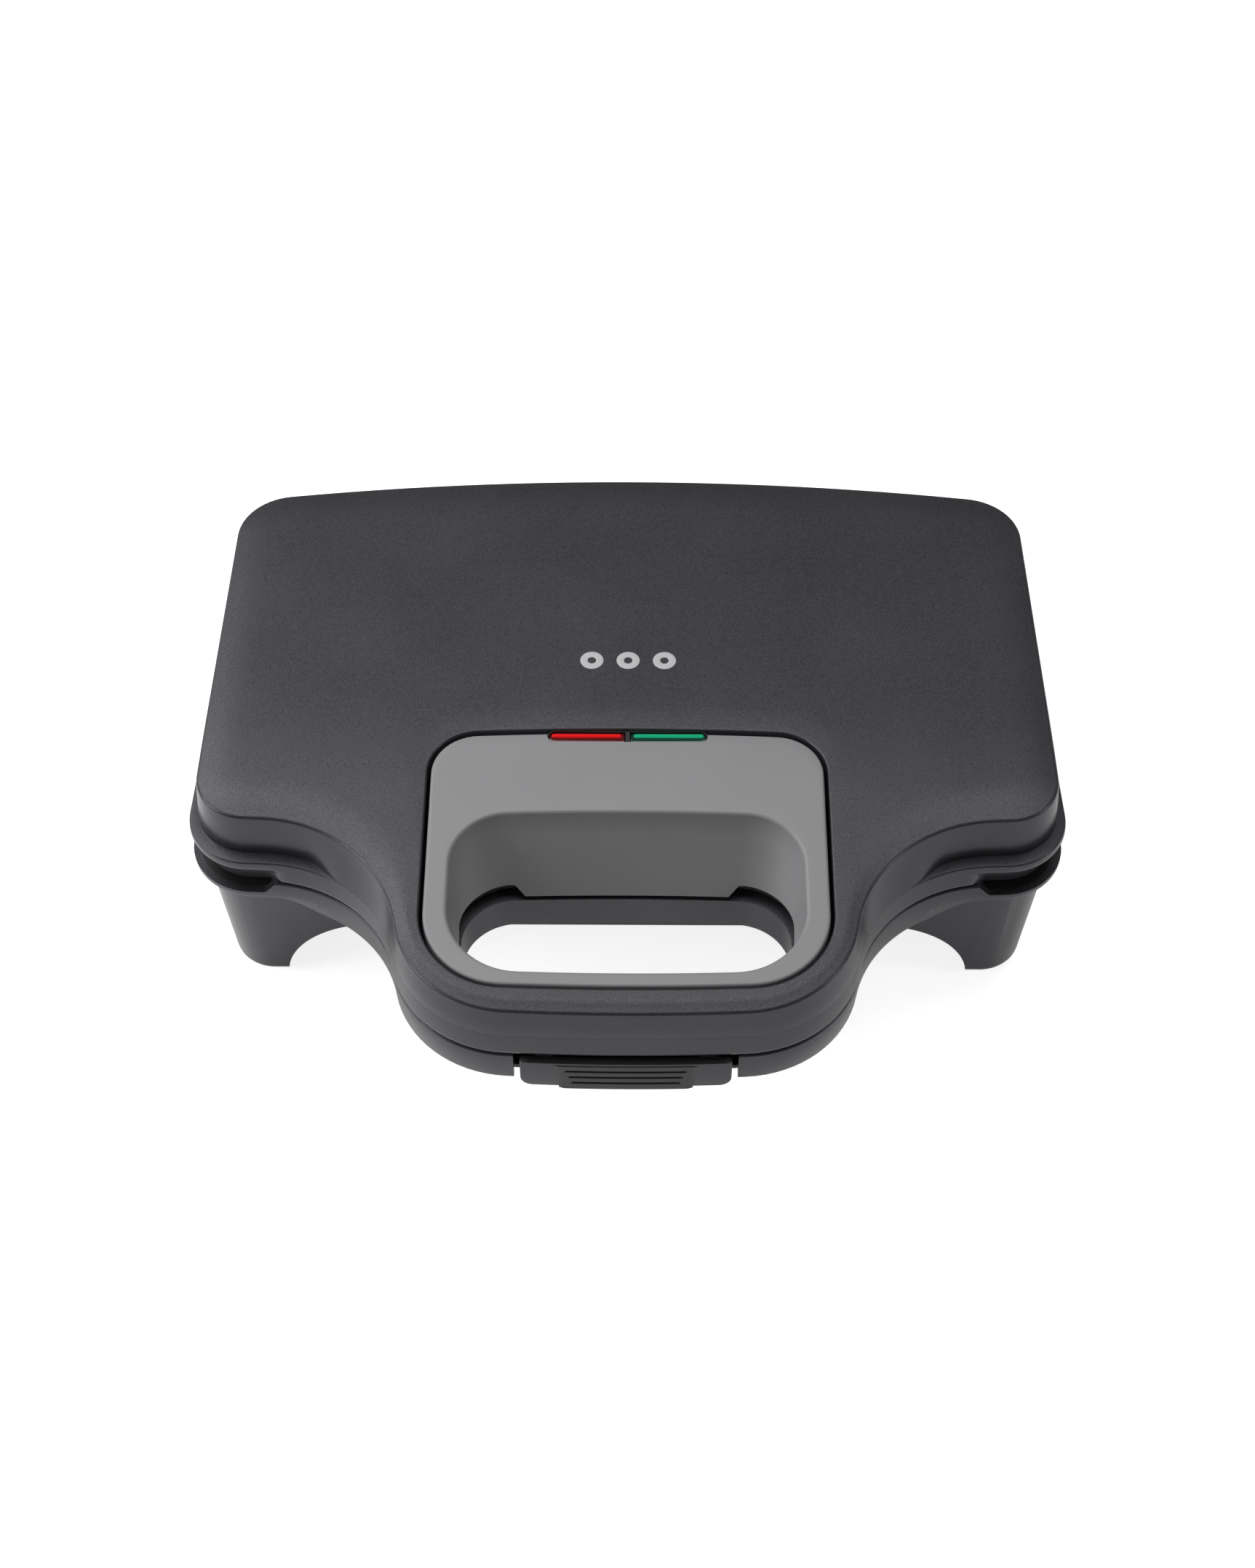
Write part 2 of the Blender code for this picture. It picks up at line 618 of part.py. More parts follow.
# ================================================================ base
def arch(name, half, z, r, x0, x1, axis_letter, middle=0.0):
    # A tunnel with rounded upper corners, open downwards, used to part the legs.
    loop = [(middle - half, -10), (middle + half, -10)]
    loop += arc(middle + half - r, z - r, r, 0, pi / 2, 6)
    loop += arc(middle - half + r, z - r, r, pi / 2, pi, 6)
    return side_prism(name, loop, x0, x1, axis_letter, cutter=True)


def body_loop(grow):
    # The base body below the handle: the ears run straight across the front.
    loop = outline(BODY, grow)
    front = BODY["ear_front"] - grow
    ear_x = BODY["ear_half"] - BODY["ear_r"]
    kept = [p for p in loop if p[1] > front + 0.3 or abs(p[0]) > ear_x]
    return [p for p in kept if p[1] > front - 0.5]


def base_housing(mat):
    lean = (FLANGE_Z - FOOT_H) * DRAFT
    band = loft("base_housing",
                [at(outline(LIP, 0.2), RIM_Z), at(outline(LIP, 0.6), RIM_Z - 0.8),
                 at(outline(LIP, 0.3), FLANGE_Z), at(outline(BODY, 0.28), FLANGE_Z - 0.2),
                 at(outline(BODY, -0.2), HANDLE_Z)], 1, mat=mat)
    body = drafted("base_body", body_loop, 0.0, FLANGE_Z - 1, -lean, FOOT_H)
    join(band, body)

    side_half = BODY["ear_half"] - lean - LEG_W
    y_front = BODY["ear_front"] + lean + LEG_D
    y_rear = BODY["rear"] - lean - LEG_D
    y_mid, y_half = (y_front + y_rear) / 2, (y_rear - y_front) / 2
    far = 200
    cut(band, arch("front_arch", side_half, BELLY_Z, ARCH_R, -far, far, "y"),
        arch("side_arch", y_half, BELLY_Z, ARCH_R, -far, far, "x", y_mid))

    hollow = drafted("body_hollow", body_loop, -WALL, RIM_Z - WALL, -WALL - lean, FOOT_H + WALL)
    floor_z = BELLY_Z + WALL
    cut(hollow, arch("front_arch_inside", side_half + WALL, floor_z, ARCH_R, -far, far, "y"),
        arch("side_arch_inside", y_half + WALL, floor_z, ARCH_R, -far, far, "x", y_mid))
    cut(band, hollow)

    handle = prism("handle_hollow", outline(BODY, -WALL), HANDLE_Z - 5, RIM_Z - WALL, cutter=True)
    keep_rear = box("handle_hollow_end", -far, far, BODY["ear_front"] - WALL, far, 0, far,
                    cutter=True)
    collar = prism("grip_collar", panel(GRIP_HOLE, WALL), 0, 100, cutter=True)
    pocket_half = LATCH_HALF + LATCH_SIDE_GAP
    pocket_wall = box("latch_pocket_wall", -pocket_half - WALL, pocket_half + WALL, -far,
                      POCKET_REAR_Y + WALL, 0, far, cutter=True)
    cut(handle, keep_rear, collar, pocket_wall)
    cut(band, handle)

    cut(band, prism("base_grip_hole", panel(GRIP_HOLE), 0, 100, cutter=True),
        prism("base_plate_opening", panel(PLATE, GAP), RIM_Z - 10, 100, cutter=True),
        box("latch_pocket", -pocket_half, pocket_half, -far, POCKET_REAR_Y,
            HANDLE_Z + POCKET_SHELF_T, 100, cutter=True),
        box("latch_pocket_mouth", -pocket_half, pocket_half, -far, POCKET_SHELF_Y, 0,
            HANDLE_Z + POCKET_SHELF_T + 1, cutter=True),
        box("catch_slot", -CATCH_HALF - GAP, CATCH_HALF + GAP, -far, POCKET_REAR_Y + WALL + 1,
            RIM_Z - WALL - CATCH_T - 2 * GAP, RIM_Z - WALL, cutter=True),
        prism("bottom_opening", panel(BOTTOM), 0, floor_z + 1, cutter=True),
        cylinder("gland_hole", (GLAND_X, BODY["rear"], GLAND_Z), GLAND_R + GAP, 30, "y", 18,
                 cutter=True))
    root = hinge_root(HINGE_X + KNUCKLE_L / 2 + LUG_GAP + LUG_L)
    for side, sign in (("left", -1), ("right", 1)):
        cut(band, vent_pocket(f"vent_pocket_{side}", sign), vent_rim(f"vent_rim_{side}", sign))
        for where, shift in (("outer", 1), ("inner", -1)):
            x = sign * HINGE_X + shift * (KNUCKLE_L / 2 + LUG_GAP + LUG_L / 2)
            name = f"hinge_lug_{side}_{where}"
            web = side_prism(name + "_web",
                             [(HINGE_Y + 2.8, HINGE_Z - 1.7), (HINGE_Y - 2.0, FLANGE_Z + 0.5),
                              (root, FLANGE_Z + 0.5), (root, RIM_Z - 0.4),
                              (HINGE_Y - 1.0, RIM_Z - 0.4)],
                             x - LUG_L / 2, x + LUG_L / 2, cutter=True)
            join(band, web, hinge_barrel(name, x, LUG_L, None))
            cut(band, hinge_bore(name + "_bore", x, LUG_L + 1, None))
        for end, y in (("front", y_front - LEG_D / 2), ("rear", y_rear + LEG_D / 2)):
            x = sign * (side_half + LEG_W / 2)
            cut(band, cylinder(f"foot_socket_{end}_{side}", (x, y, FOOT_H), FOOT_PEG_R + GAP, 12,
                               "z", 16, cutter=True))
    return side_half + LEG_W / 2, (y_front - LEG_D / 2, y_rear + LEG_D / 2)


def drafted(name, loop_of, grow_top, z_top, grow_low, z_low):
    # A cutter whose outline changes evenly from its top to its bottom.
    top, low = loop_of(grow_top), loop_of(grow_low)
    bm = bmesh.new()
    a = [bm.verts.new((x * MM, y * MM, z_top * MM)) for x, y in top]
    b = [bm.verts.new((x * MM, y * MM, z_low * MM)) for x, y in low]
    for i in range(len(a)):
        j = (i + 1) % len(a)
        bm.faces.new((a[i], a[j], b[j], b[i]))
    bm.faces.new(a)
    bm.faces.new(b)
    return new_object(name, bm, cutter=True)


def vent_pocket(name, sign):
    # The hollow inside the flange at an ear, open upwards as a steam vent.
    ring = prism(name, outline(LIP, -WALL + 0.4), FLANGE_Z + VENT_FLOOR_T, RIM_Z + 5, cutter=True)
    core = prism(name + "_core", outline(LIP, -WALL - VENT_W), 0, 90, cutter=True)
    cut(ring, core)
    zone = box(name + "_zone", *sorted((sign * VENT_X, sign * 140)), LIP["ear_front"] - 5,
               VENT_REAR_Y, 0, 90, cutter=True)
    boolean(ring, zone, "INTERSECT")
    return ring


def vent_rim(name, sign):
    # The rim beside the vent stands lower than the rest.
    return box(name, *sorted((sign * VENT_X, sign * 140)), LIP["ear_front"] - 5,
               VENT_REAR_Y, RIM_Z - VENT_DROP, RIM_Z + 5, cutter=True)


def bottom_cover(mat):
    # A plate set inside the belly, over the opening in its floor. Returns its underside.
    low = BELLY_Z + WALL + GAP
    prism("bottom_cover", panel(BOTTOM, COVER_LAP), low, low + COVER_T, mat=mat)
    return low


def rubber_feet(mat, x_leg, y_legs):
    for end, y in zip(("front", "rear"), y_legs):
        for side, sign in (("left", -1), ("right", 1)):
            low, top = FOOT_H - GAP, FOOT_H + FOOT_PEG_H
            profile = [(0, top), (FOOT_PEG_R, top), (FOOT_PEG_R, low), (FOOT_R, low),
                       (FOOT_R - 0.5, 0), (0, 0)]
            turned(f"foot_{end}_{side}", profile, (sign * x_leg, y, 0), "z", 16, mat=mat)


def screws(mat, low):
    # Pan-head screws up through the bottom cover, one near each corner.
    r = COVER_SCREW_R
    ends = (("front", BOTTOM["front"] + COVER_SCREW_INSET), ("rear", BOTTOM["rear"] - COVER_SCREW_INSET))
    for end, y in ends:
        for side, sign in (("left", -1), ("right", 1)):
            head, shank = low - GAP, COVER_T + GAP
            profile = [(0, shank), (r, shank), (r, 0), (2 * r, 0), (2 * r - 0.4, -1.5), (0, -1.5)]
            x = sign * (BOTTOM["half"] - COVER_SCREW_INSET)
            turned(f"cover_screw_{end}_{side}", profile, (x, y, head), "z", 12, mat=mat)
            hole = cylinder(f"cover_screw_hole_{end}_{side}", (x, y, low), r + GAP, 12, "z", 12,
                            cutter=True)
            cut(bpy.data.objects["bottom_cover"], hole)


def ring_centres():
    mid = (PLATE["front"] + PLATE["rear"]) / 2
    return [(i * RING_PITCH_X, mid + j * RING_PITCH_Y) for i in (-1, 0, 1) for j in (-0.5, 0.5)]


def cooking_plate(name, face_z, up, mat, axis):
    # A flange with six cups behind it; a ring mould is cut into each. up is +1 when the
    # cooking face looks up, and -1 for the plate in the lid.
    back_z = face_z - up * PLATE_T
    plate = prism(name, panel(PLATE), *sorted((face_z, back_z)), mat=mat, axis=axis)
    depth = RING_TUBE_R + CUP_WALL
    rim_r, floor_r = RING_R + RING_TUBE_R + CUP_WALL - 1, RING_R + RING_TUBE_R - 2
    low_r, high_r = (floor_r, rim_r) if up > 0 else (rim_r, floor_r)
    for i, (x, y) in enumerate(ring_centres()):
        middle = face_z - up * (depth + 1.0) / 2
        cup = cylinder(f"{name}_cup_{i}", (x, y, middle), low_r, depth - 1.0, "z", 20, r_top=high_r,
                       axis=axis, cutter=True)
        join(plate, cup)
    sides = 10
    for i, (x, y) in enumerate(ring_centres()):
        angles = [pi / sides - k * 2 * pi / sides for k in range(sides)]
        section = [(RING_R + RING_TUBE_R * cos(a), RING_TUBE_R * sin(a)) for a in angles]
        mould = turned(f"{name}_mould_{i}", section, (x, y, face_z), "z", 20, axis=axis, cutter=True)
        cut(plate, mould)
    for i, sign in enumerate((-1, 1)):
        x = sign * RING_PITCH_X / 2
        boss = cylinder(f"{name}_boss_{i}", (x, PLATE_MID, face_z - up * (depth + 1.0) / 2), 4.0,
                        depth - 1.0, "z", 14, axis=axis, cutter=True)
        bore = cylinder(f"{name}_boss_bore_{i}", (x, PLATE_MID, face_z - up * depth), SCREW_R + GAP,
                        12, "z", 14, axis=axis, cutter=True)
        join(plate, boss)
        cut(plate, bore)


def heater(prefix, face_z, up, mats, axis):
    # Behind one plate: the tubular element, two bars that clamp it, their screws and the pan.
    depth = RING_TUBE_R + CUP_WALL
    z = face_z - up * (depth + GAP + ELEMENT_R)
    half = RING_PITCH_Y / 2
    start = -RING_PITCH_X - 22
    bend = RING_PITCH_X - 6
    angles = [pi * k / 8 for k in range(9)]
    turn = [(bend + half * sin(a), PLATE_MID - half * cos(a), z) for a in angles]
    points = [(start, PLATE_MID - half, z)] + turn + [(start, PLATE_MID + half, z)]
    rod(f"{prefix}_heating_element", points, ELEMENT_R, mat=mats["element"], axis=axis)
    bar_z = z - up * (ELEMENT_R + GAP)
    screw_top = face_z - up * (depth - 5)
    for side, sign in (("left", -1), ("right", 1)):
        x = sign * RING_PITCH_X / 2
        bar = box(f"{prefix}_element_bar_{side}", x - 5, x + 5, PLATE_MID - half - 6,
                  PLATE_MID + half + 6, *sorted((bar_z, bar_z - up * BAR_T)), mat=mats["steel"],
                  axis=axis)
        cut(bar, cylinder(f"{prefix}_bar_hole_{side}", (x, PLATE_MID, bar_z), SCREW_R + GAP, 8, "z",
                          14, axis=axis, cutter=True))
        head_z = bar_z - up * (BAR_T + GAP)
        shank = abs(screw_top - head_z)
        profile = [(0, shank), (SCREW_R, shank), (SCREW_R, 0), (SCREW_R + 1.5, 0),
                   (SCREW_R + 1.5, -SCREW_HEAD_T), (0, -SCREW_HEAD_T)]
        screw = turned(f"{prefix}_bar_screw_{side}", profile, (x, PLATE_MID, head_z), "z", 12,
                       mat=mats["steel"], axis=axis)
        if up < 0:
            screw.matrix_basis = screw.matrix_basis @ Matrix.Rotation(pi, 4, "X")
    return bar_z - up * BAR_T


def pan(name, rim_z, floor_z, mat):
    # A pressed tray under the lower plate: its rim reaches out beneath the housing's deck.
    loft(name, [
        at(panel(PLATE, PAN_LOW_GROW), floor_z),
        at(panel(PLATE, PAN_WALL_GROW), rim_z - PAN_T),
        at(panel(PLATE, PAN_RIM_GROW), rim_z - PAN_T),
        at(panel(PLATE, PAN_RIM_GROW), rim_z),
        at(panel(PLATE, PAN_WALL_GROW - PAN_T), rim_z),
        at(panel(PLATE, PAN_LOW_GROW - PAN_T), floor_z + PAN_T),
    ], mat=mat)


def shield(name, z, mat, axis):
    # A flat sheet over the upper element, behind the lamps.
    form = dict(PLATE, half=PLATE["half"] - 9, front=LAMP_Y + 7, rear=PLATE["rear"] - 3, front_r=6)
    prism(name, panel(form), z, z + PAN_T, mat=mat, axis=axis)


def thermostat_and_fuse(mats, top_z):
    cylinder("thermostat", (0, PLATE_MID, top_z - GAP - 4), 8, 8, "z", 20, mat=mats["steel"])
    y, z = PLATE_MID - 18, top_z - 4
    rod("thermal_fuse", [(-12, y, z), (12, y, z)], 2.0, mat=mats["sleeve"])


def terminal_block(mat):
    x = GLAND_X + 34
    y = BODY["rear"] - x ** 2 / (2 * BODY["rear_bow"]) - TERMINAL_SETBACK
    box("terminal_block", GLAND_X + 14, GLAND_X + 34, y, y + 5.0, GLAND_Z - 3, GLAND_Z + 7, mat=mat)


def cord_gland(mat):
    # A bushing through the rear wall, where the cord would enter.
    y = BODY["rear"] - GLAND_X ** 2 / (2 * BODY["rear_bow"]) - 0.1
    bore, collar = 3.2, GLAND_R + 1.8
    profile = [(bore, 6.0), (GLAND_R - 0.6, 6.0), (collar, 1.6), (collar, 0.6), (GLAND_R, 0.6),
               (GLAND_R, -4.3), (collar, -4.3), (collar, -5.3), (bore, -5.3)]
    turned("cord_gland", profile, (GLAND_X, y, GLAND_Z), "y", 20, mat=mat)


def hinge_pins(mat):
    length = KNUCKLE_L + 2 * (LUG_L + LUG_GAP) - 1.0
    for side, sign in (("left", -1), ("right", 1)):
        cylinder(f"hinge_pin_{side}", (sign * HINGE_X, HINGE_Y, HINGE_Z), PIN_R, length, "x", 16,
                 mat=mat)


# ================================================================ latch
def latch(mats, axis, lid_axis):
    inner = LATCH_FRONT + LATCH_T
    r = 2.4
    loop = [(LATCH_HALF, LATCH_TOP_Z), (-LATCH_HALF, LATCH_TOP_Z)]
    loop += arc(-LATCH_HALF + r, LATCH_BOTTOM_Z + r, r, pi, 1.5 * pi, 4)
    loop += arc(LATCH_HALF - r, LATCH_BOTTOM_Z + r, r, -pi / 2, 0, 4)
    body = side_prism("latch_body", loop, LATCH_FRONT, inner, "y", mat=mats["paint"], axis=axis)
    recess = side_prism("latch_recess", grip_loop(GAP, GAP, LATCH_BOTTOM_Z - 5), LATCH_FRONT - 5,
                        LATCH_FRONT + GRIP_T - 0.4 + GAP, "y", axis=axis, cutter=True)
    for sign, side in ((-1, "left"), (1, "right")):
        x0, x1 = sign * ARM_X - ARM_W / 2, sign * ARM_X + ARM_W / 2
        front_y, rear_y = LATCH_PIVOT_Y - LATCH_BOSS_R + 0.4, LATCH_PIVOT_Y + LATCH_BOSS_R
        arm = side_prism(f"latch_arm_{side}",
                         [(inner - 1.2, LATCH_TOP_Z - 0.6), (inner - 1.2, LATCH_TOP_Z - 5),
                          (rear_y, LATCH_TOP_Z - 3), (rear_y, LATCH_PIVOT_Z),
                          (front_y, LATCH_PIVOT_Z), (front_y, LATCH_TOP_Z + 0.2)],
                         x0, x1, axis=axis, cutter=True)
        pivot = (sign * ARM_X, LATCH_PIVOT_Y, LATCH_PIVOT_Z)
        boss = cylinder(f"latch_boss_{side}", pivot, LATCH_BOSS_R, ARM_W, "x", 16, axis=axis,
                        cutter=True)
        join(body, arm, boss)
        cut(body, cylinder(f"latch_bore_{side}", pivot, LATCH_PIN_R + GAP, ARM_W + 2, "x", 16,
                           axis=axis, cutter=True))
    hook_low, hook_tip = LATCH_BOTTOM_Z + 3, inner + 3.1
    hook = side_prism("latch_hook",
                      [(inner - 1.0, hook_low), (hook_tip, hook_low + 2.5), (hook_tip, hook_low + 4),
                       (inner - 1.0, hook_low + 4)],
                      -CATCH_HALF + 2, CATCH_HALF - 2, axis=axis, cutter=True)
    join(body, hook)
    cut(body, recess)

    front = LATCH_FRONT - 0.4
    grip = side_prism("latch_grip", grip_loop(0, 0, LATCH_BOTTOM_Z - GRIP_DROP), front,
                      front + GRIP_T, "y", mat=mats["grip"], axis=axis)
    for i in range(3):
        z = LATCH_BOTTOM_Z + 1.6 + 2.9 * i
        cut(grip, box(f"grip_groove_{i}", -GRIP_LOW_HALF + 2.2, GRIP_LOW_HALF - 2.2, front - 2,
                      front + 0.5, z, z + 1.2, axis=axis, cutter=True))
    pin_length = 2 * (ARM_X + ARM_W / 2 + PIN_POST_GAP + PIN_POST_T) - 1
    cylinder("latch_pin", (0, LATCH_PIVOT_Y, LATCH_PIVOT_Z), LATCH_PIN_R, pin_length, "x", 14,
             mat=mats["steel"], axis=lid_axis)
    catch_top = RIM_Z - WALL - GAP
    box("latch_catch", -CATCH_HALF, CATCH_HALF, hook_tip + 0.4, POCKET_REAR_Y + 4,
        catch_top - CATCH_T, catch_top, mat=mats["steel"])


def grip_loop(side, top, low):
    # The grip pad: a black strip along the latch's top edge and a tapering pad below it.
    strip = 1.6
    high = LATCH_TOP_Z + (0 if top == 0 else 5)
    half, strip_z = LATCH_HALF - 3, LATCH_TOP_Z - strip - side
    return [(-half, high), (half, high), (half, strip_z), (GRIP_TOP_HALF + side, strip_z),
            (GRIP_LOW_HALF + side, low), (-GRIP_LOW_HALF - side, low),
            (-GRIP_TOP_HALF - side, strip_z), (-half, strip_z)]


# ================================================================ assembly
def main():
    clear_scene()
    paint = material("charcoal_paint", (0.075, 0.075, 0.083), 0.42, 0.35)
    mats = dict(
        paint=paint,
        grey=material("satin_grey", (0.30, 0.30, 0.31), 0.45, 0.1),
        black=material("black_plastic", (0.02, 0.02, 0.022), 0.5),
        grip=material("latch_black", (0.022, 0.022, 0.025), 0.4),
        red=material("red_lens", (0.6, 0.01, 0.01), 0.15),
        green=material("green_lens", (0.01, 0.32, 0.15), 0.15),
        neon=material("neon_glass", (0.8, 0.6, 0.4), 0.1),
        steel=material("steel", (0.55, 0.55, 0.56), 0.35, 1.0),
        element=material("element_sheath", (0.35, 0.34, 0.33), 0.5, 1.0),
        pan=material("aluminised_sheet", (0.62, 0.62, 0.63), 0.4, 1.0),
        coating=material("nonstick_coating", (0.035, 0.035, 0.037), 0.45),
        sleeve=material("fibre_sleeve", (0.75, 0.73, 0.68), 0.8),
        rubber=material("foot_rubber", (0.03, 0.03, 0.03), 0.8),
    )
    lid_axis = axis_empty("lid_hinge_axis", HINGE_Y, HINGE_Z)
    latch_axis = axis_empty("latch_hinge_axis", LATCH_PIVOT_Y, LATCH_PIVOT_Z, lid_axis)

    lid_housing(mats["paint"], lid_axis)
    lid_frame(mats["black"], lid_axis)
    handle_insert(mats["grey"], lid_axis)
    lamps(mats, lid_axis)
    upper_face = LID_BOTTOM_Z - PARTING_GAP / 2 + PLATE_GAP / 2
    lower_face = upper_face - PLATE_GAP
    cooking_plate("upper_cooking_plate", upper_face, -1, mats["coating"], lid_axis)
    back = heater("upper", upper_face, -1, mats, lid_axis)
    shield("upper_reflector", back + SCREW_HEAD_T + 2 * GAP, mats["pan"], lid_axis)

    x_leg, y_legs = base_housing(mats["paint"])
    low = bottom_cover(mats["black"])
    screws(mats["steel"], low)
    rubber_feet(mats["rubber"], x_leg, y_legs)
    cooking_plate("lower_cooking_plate", lower_face, 1, mats["coating"], None)
    back = heater("lower", lower_face, 1, mats, None)
    pan("lower_reflector", lower_face - PLATE_T - GAP, back - SCREW_HEAD_T - 4 * GAP, mats["pan"])
    thermostat_and_fuse(mats, lower_face - RING_TUBE_R - CUP_WALL)
    terminal_block(mats["black"])
    cord_gland(mats["rubber"])
    hinge_pins(mats["steel"])
    latch(mats, latch_axis, lid_axis)


main()
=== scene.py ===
from math import acos, atan2, cos, hypot, pi, radians, sin, sqrt, tan
import bmesh
import bpy
import numpy as np
from mathutils import Matrix, Vector


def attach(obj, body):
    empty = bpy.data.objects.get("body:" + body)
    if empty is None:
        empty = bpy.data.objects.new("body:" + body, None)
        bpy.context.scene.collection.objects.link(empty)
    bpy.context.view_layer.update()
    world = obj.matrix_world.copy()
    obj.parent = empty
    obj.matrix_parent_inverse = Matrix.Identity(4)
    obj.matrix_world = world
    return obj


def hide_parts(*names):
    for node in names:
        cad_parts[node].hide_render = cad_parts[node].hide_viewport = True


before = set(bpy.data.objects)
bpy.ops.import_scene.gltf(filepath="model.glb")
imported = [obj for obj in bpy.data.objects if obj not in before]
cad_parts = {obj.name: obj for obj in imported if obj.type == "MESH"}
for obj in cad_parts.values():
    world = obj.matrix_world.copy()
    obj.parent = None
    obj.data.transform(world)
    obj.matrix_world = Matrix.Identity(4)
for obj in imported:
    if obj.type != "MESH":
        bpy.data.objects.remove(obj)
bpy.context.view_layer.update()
mm = 0.001
print("frame loaded with", len(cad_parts), "nodes")


# materials: a socket that can be added, multiplied and mixed
class Wire:
    def __init__(self, tree, socket=None):
        self.tree, self.socket = tree, socket

    def add(self, kind, settings=None, inputs=None, out=0):
        # adds one node: its settings first, then the values or links of its sockets
        node = self.tree.nodes.new("ShaderNode" + kind)
        for key, value in (settings or {}).items():
            if key == "stops":
                fillRamp(node.color_ramp, value)
            else:
                setattr(node, key, value)
        for key, value in (inputs or {}).items():
            self.feed(node.inputs[key], value)
        return Wire(self.tree, node.outputs[out])

    def feed(self, socket, value):
        if isinstance(value, Wire):
            self.tree.links.new(value.socket, socket)
        elif socket.type == "RGBA":
            socket.default_value = (*value[:3], 1)
        else:
            socket.default_value = value

    def calculate(self, operation, other, swapped=False):
        first, second = (other, self) if swapped else (self, other)
        if self.socket.type == "RGBA":
            return self.add("Mix", dict(data_type="RGBA", blend_type=operation), {0: 1.0, 6: first, 7: second}, 2)
        if self.socket.type == "VECTOR":
            return self.add("VectorMath", dict(operation=operation), {0: first, 1: second})
        return self.add("Math", dict(operation=operation), {0: first, 1: second})

    def __add__(self, other):
        return self.calculate("ADD", other)

    def __radd__(self, other):
        return self.calculate("ADD", other, True)

    def __sub__(self, other):
        return self.calculate("SUBTRACT", other)

    def __rsub__(self, other):
        return self.calculate("SUBTRACT", other, True)

    def __mul__(self, other):
        return self.calculate("MULTIPLY", other)

    def __rmul__(self, other):
        return self.calculate("MULTIPLY", other, True)

    def blend(self, low, high):
        # a colour that runs from low to high as this value goes from 0 to 1
        return self.add("Mix", dict(data_type="RGBA"), {0: self, 6: low, 7: high}, 2)


def fillRamp(ramp, stops):
    while len(ramp.elements) < len(stops):
        ramp.elements.new(1.0)
    for element, (place, level) in zip(ramp.elements, stops):
        element.position = place
        element.color = (level, level, level, 1)


def newMaterial(name, constants, build=None):
    # constants go straight on the shader; build returns what varies over the surface
    made = bpy.data.materials.new(name)
    made.use_nodes = True
    tree = made.node_tree
    shader = tree.nodes["Principled BSDF"]
    for key, value in constants.items():
        socket = shader.inputs[key]
        socket.default_value = (*value, 1) if socket.type == "RGBA" else value
    if build:
        wires = Wire(tree)
        place = wires.add("TexCoord", out=3)
        for key, value in build(wires, place).items():
            wires.feed(shader.inputs[key], value)
    return made


def noise(wires, place, size, detail=2.0, roughness=0.5):
    # grain whose lumps are about size millimetres across, from 0 to 1
    return wires.add("TexNoise", None, {"Vector": place, "Scale": 1 / (size * mm), "Detail": detail,
                                        "Roughness": roughness})


def spread(wires, value, low, high):
    # stretches the part of value between low and high over 0 to 1
    return wires.add("MapRange", None, {"Value": value, "From Min": low, "From Max": high})


def bump(wires, height, strength, depth):
    return wires.add("Bump", None, {"Height": height, "Strength": strength, "Distance": depth * mm})


paintLook = dict(dark=(0.020, 0.020, 0.023), light=(0.098, 0.098, 0.110), flake=0.42, cloud=38, wall=0.24,
                 top=0.42, grainDepth=0.04)


def paintBuild(wires, place):
    # level faces have a fine matt grain, and upright walls are smooth
    heading = wires.add("SeparateXYZ", None, {0: wires.add("TexCoord", out=1)}, 2)
    level = spread(wires, heading, 0.55, 0.95)
    flakes = spread(wires, noise(wires, place, paintLook["flake"], 3.0, 0.7), 0.30, 0.72)
    clouds = noise(wires, place, paintLook["cloud"], 2.0)
    scuffs = spread(wires, noise(wires, place, 6, 5.0, 0.6), 0.62, 0.86)
    grain = 0.5 + (flakes - 0.5) * (0.3 + level * 0.7)
    colour = (grain * 0.75 + clouds * 0.25).blend(paintLook["dark"], paintLook["light"])
    rough = paintLook["wall"] + level * (paintLook["top"] - paintLook["wall"])
    return {"Base Color": colour,
            "Roughness": rough + clouds * 0.05 + scuffs * 0.05,
            "Normal": bump(wires, flakes * (0.15 + level * 0.85) + clouds * 0.3, 0.35, paintLook["grainDepth"])}


charcoalPaint = newMaterial("charcoalPaint", {"Metallic": 0.55, "Specular IOR Level": 0.5}, paintBuild)


def plasticMaterial(name, dark, light, roughness, grain, depth, **more):
    def build(wires, place):
        grains = noise(wires, place, grain, 3.0, 0.6)
        clouds = noise(wires, place, 25, 2.0)
        rubs = spread(wires, noise(wires, place, 5, 4.0, 0.6), 0.6, 0.85)
        return {"Base Color": (grains * 0.5 + clouds * 0.5).blend(dark, light),
                "Roughness": roughness + clouds * 0.07 + rubs * 0.06,
                "Normal": bump(wires, grains, 0.3, depth)}
    return newMaterial(name, more, build)


satinGrey = plasticMaterial("satinGrey", (0.225, 0.225, 0.232), (0.275, 0.275, 0.283), 0.42, 0.35, 0.02)
blackPlastic = plasticMaterial("blackPlastic", (0.012, 0.012, 0.013), (0.020, 0.020, 0.021), 0.5, 0.3, 0.03)
latchBlack = plasticMaterial("latchBlack", (0.010, 0.010, 0.011), (0.022, 0.022, 0.023), 0.36, 0.3, 0.015)
footRubber = plasticMaterial("footRubber", (0.018, 0.018, 0.018), (0.032, 0.031, 0.031), 0.75, 0.5, 0.05)
redLens = plasticMaterial("redLens", (0.085, 0.001, 0.002), (0.11, 0.002, 0.003), 0.12, 1.2, 0.008,
                          **{"Coat Weight": 0.6})
redBar = plasticMaterial("redBar", (0.52, 0.002, 0.003), (0.60, 0.004, 0.005), 0.2, 1.5, 0.008,
                         **{"Emission Color": (0.6, 0.004, 0.004), "Emission Strength": 0.35})
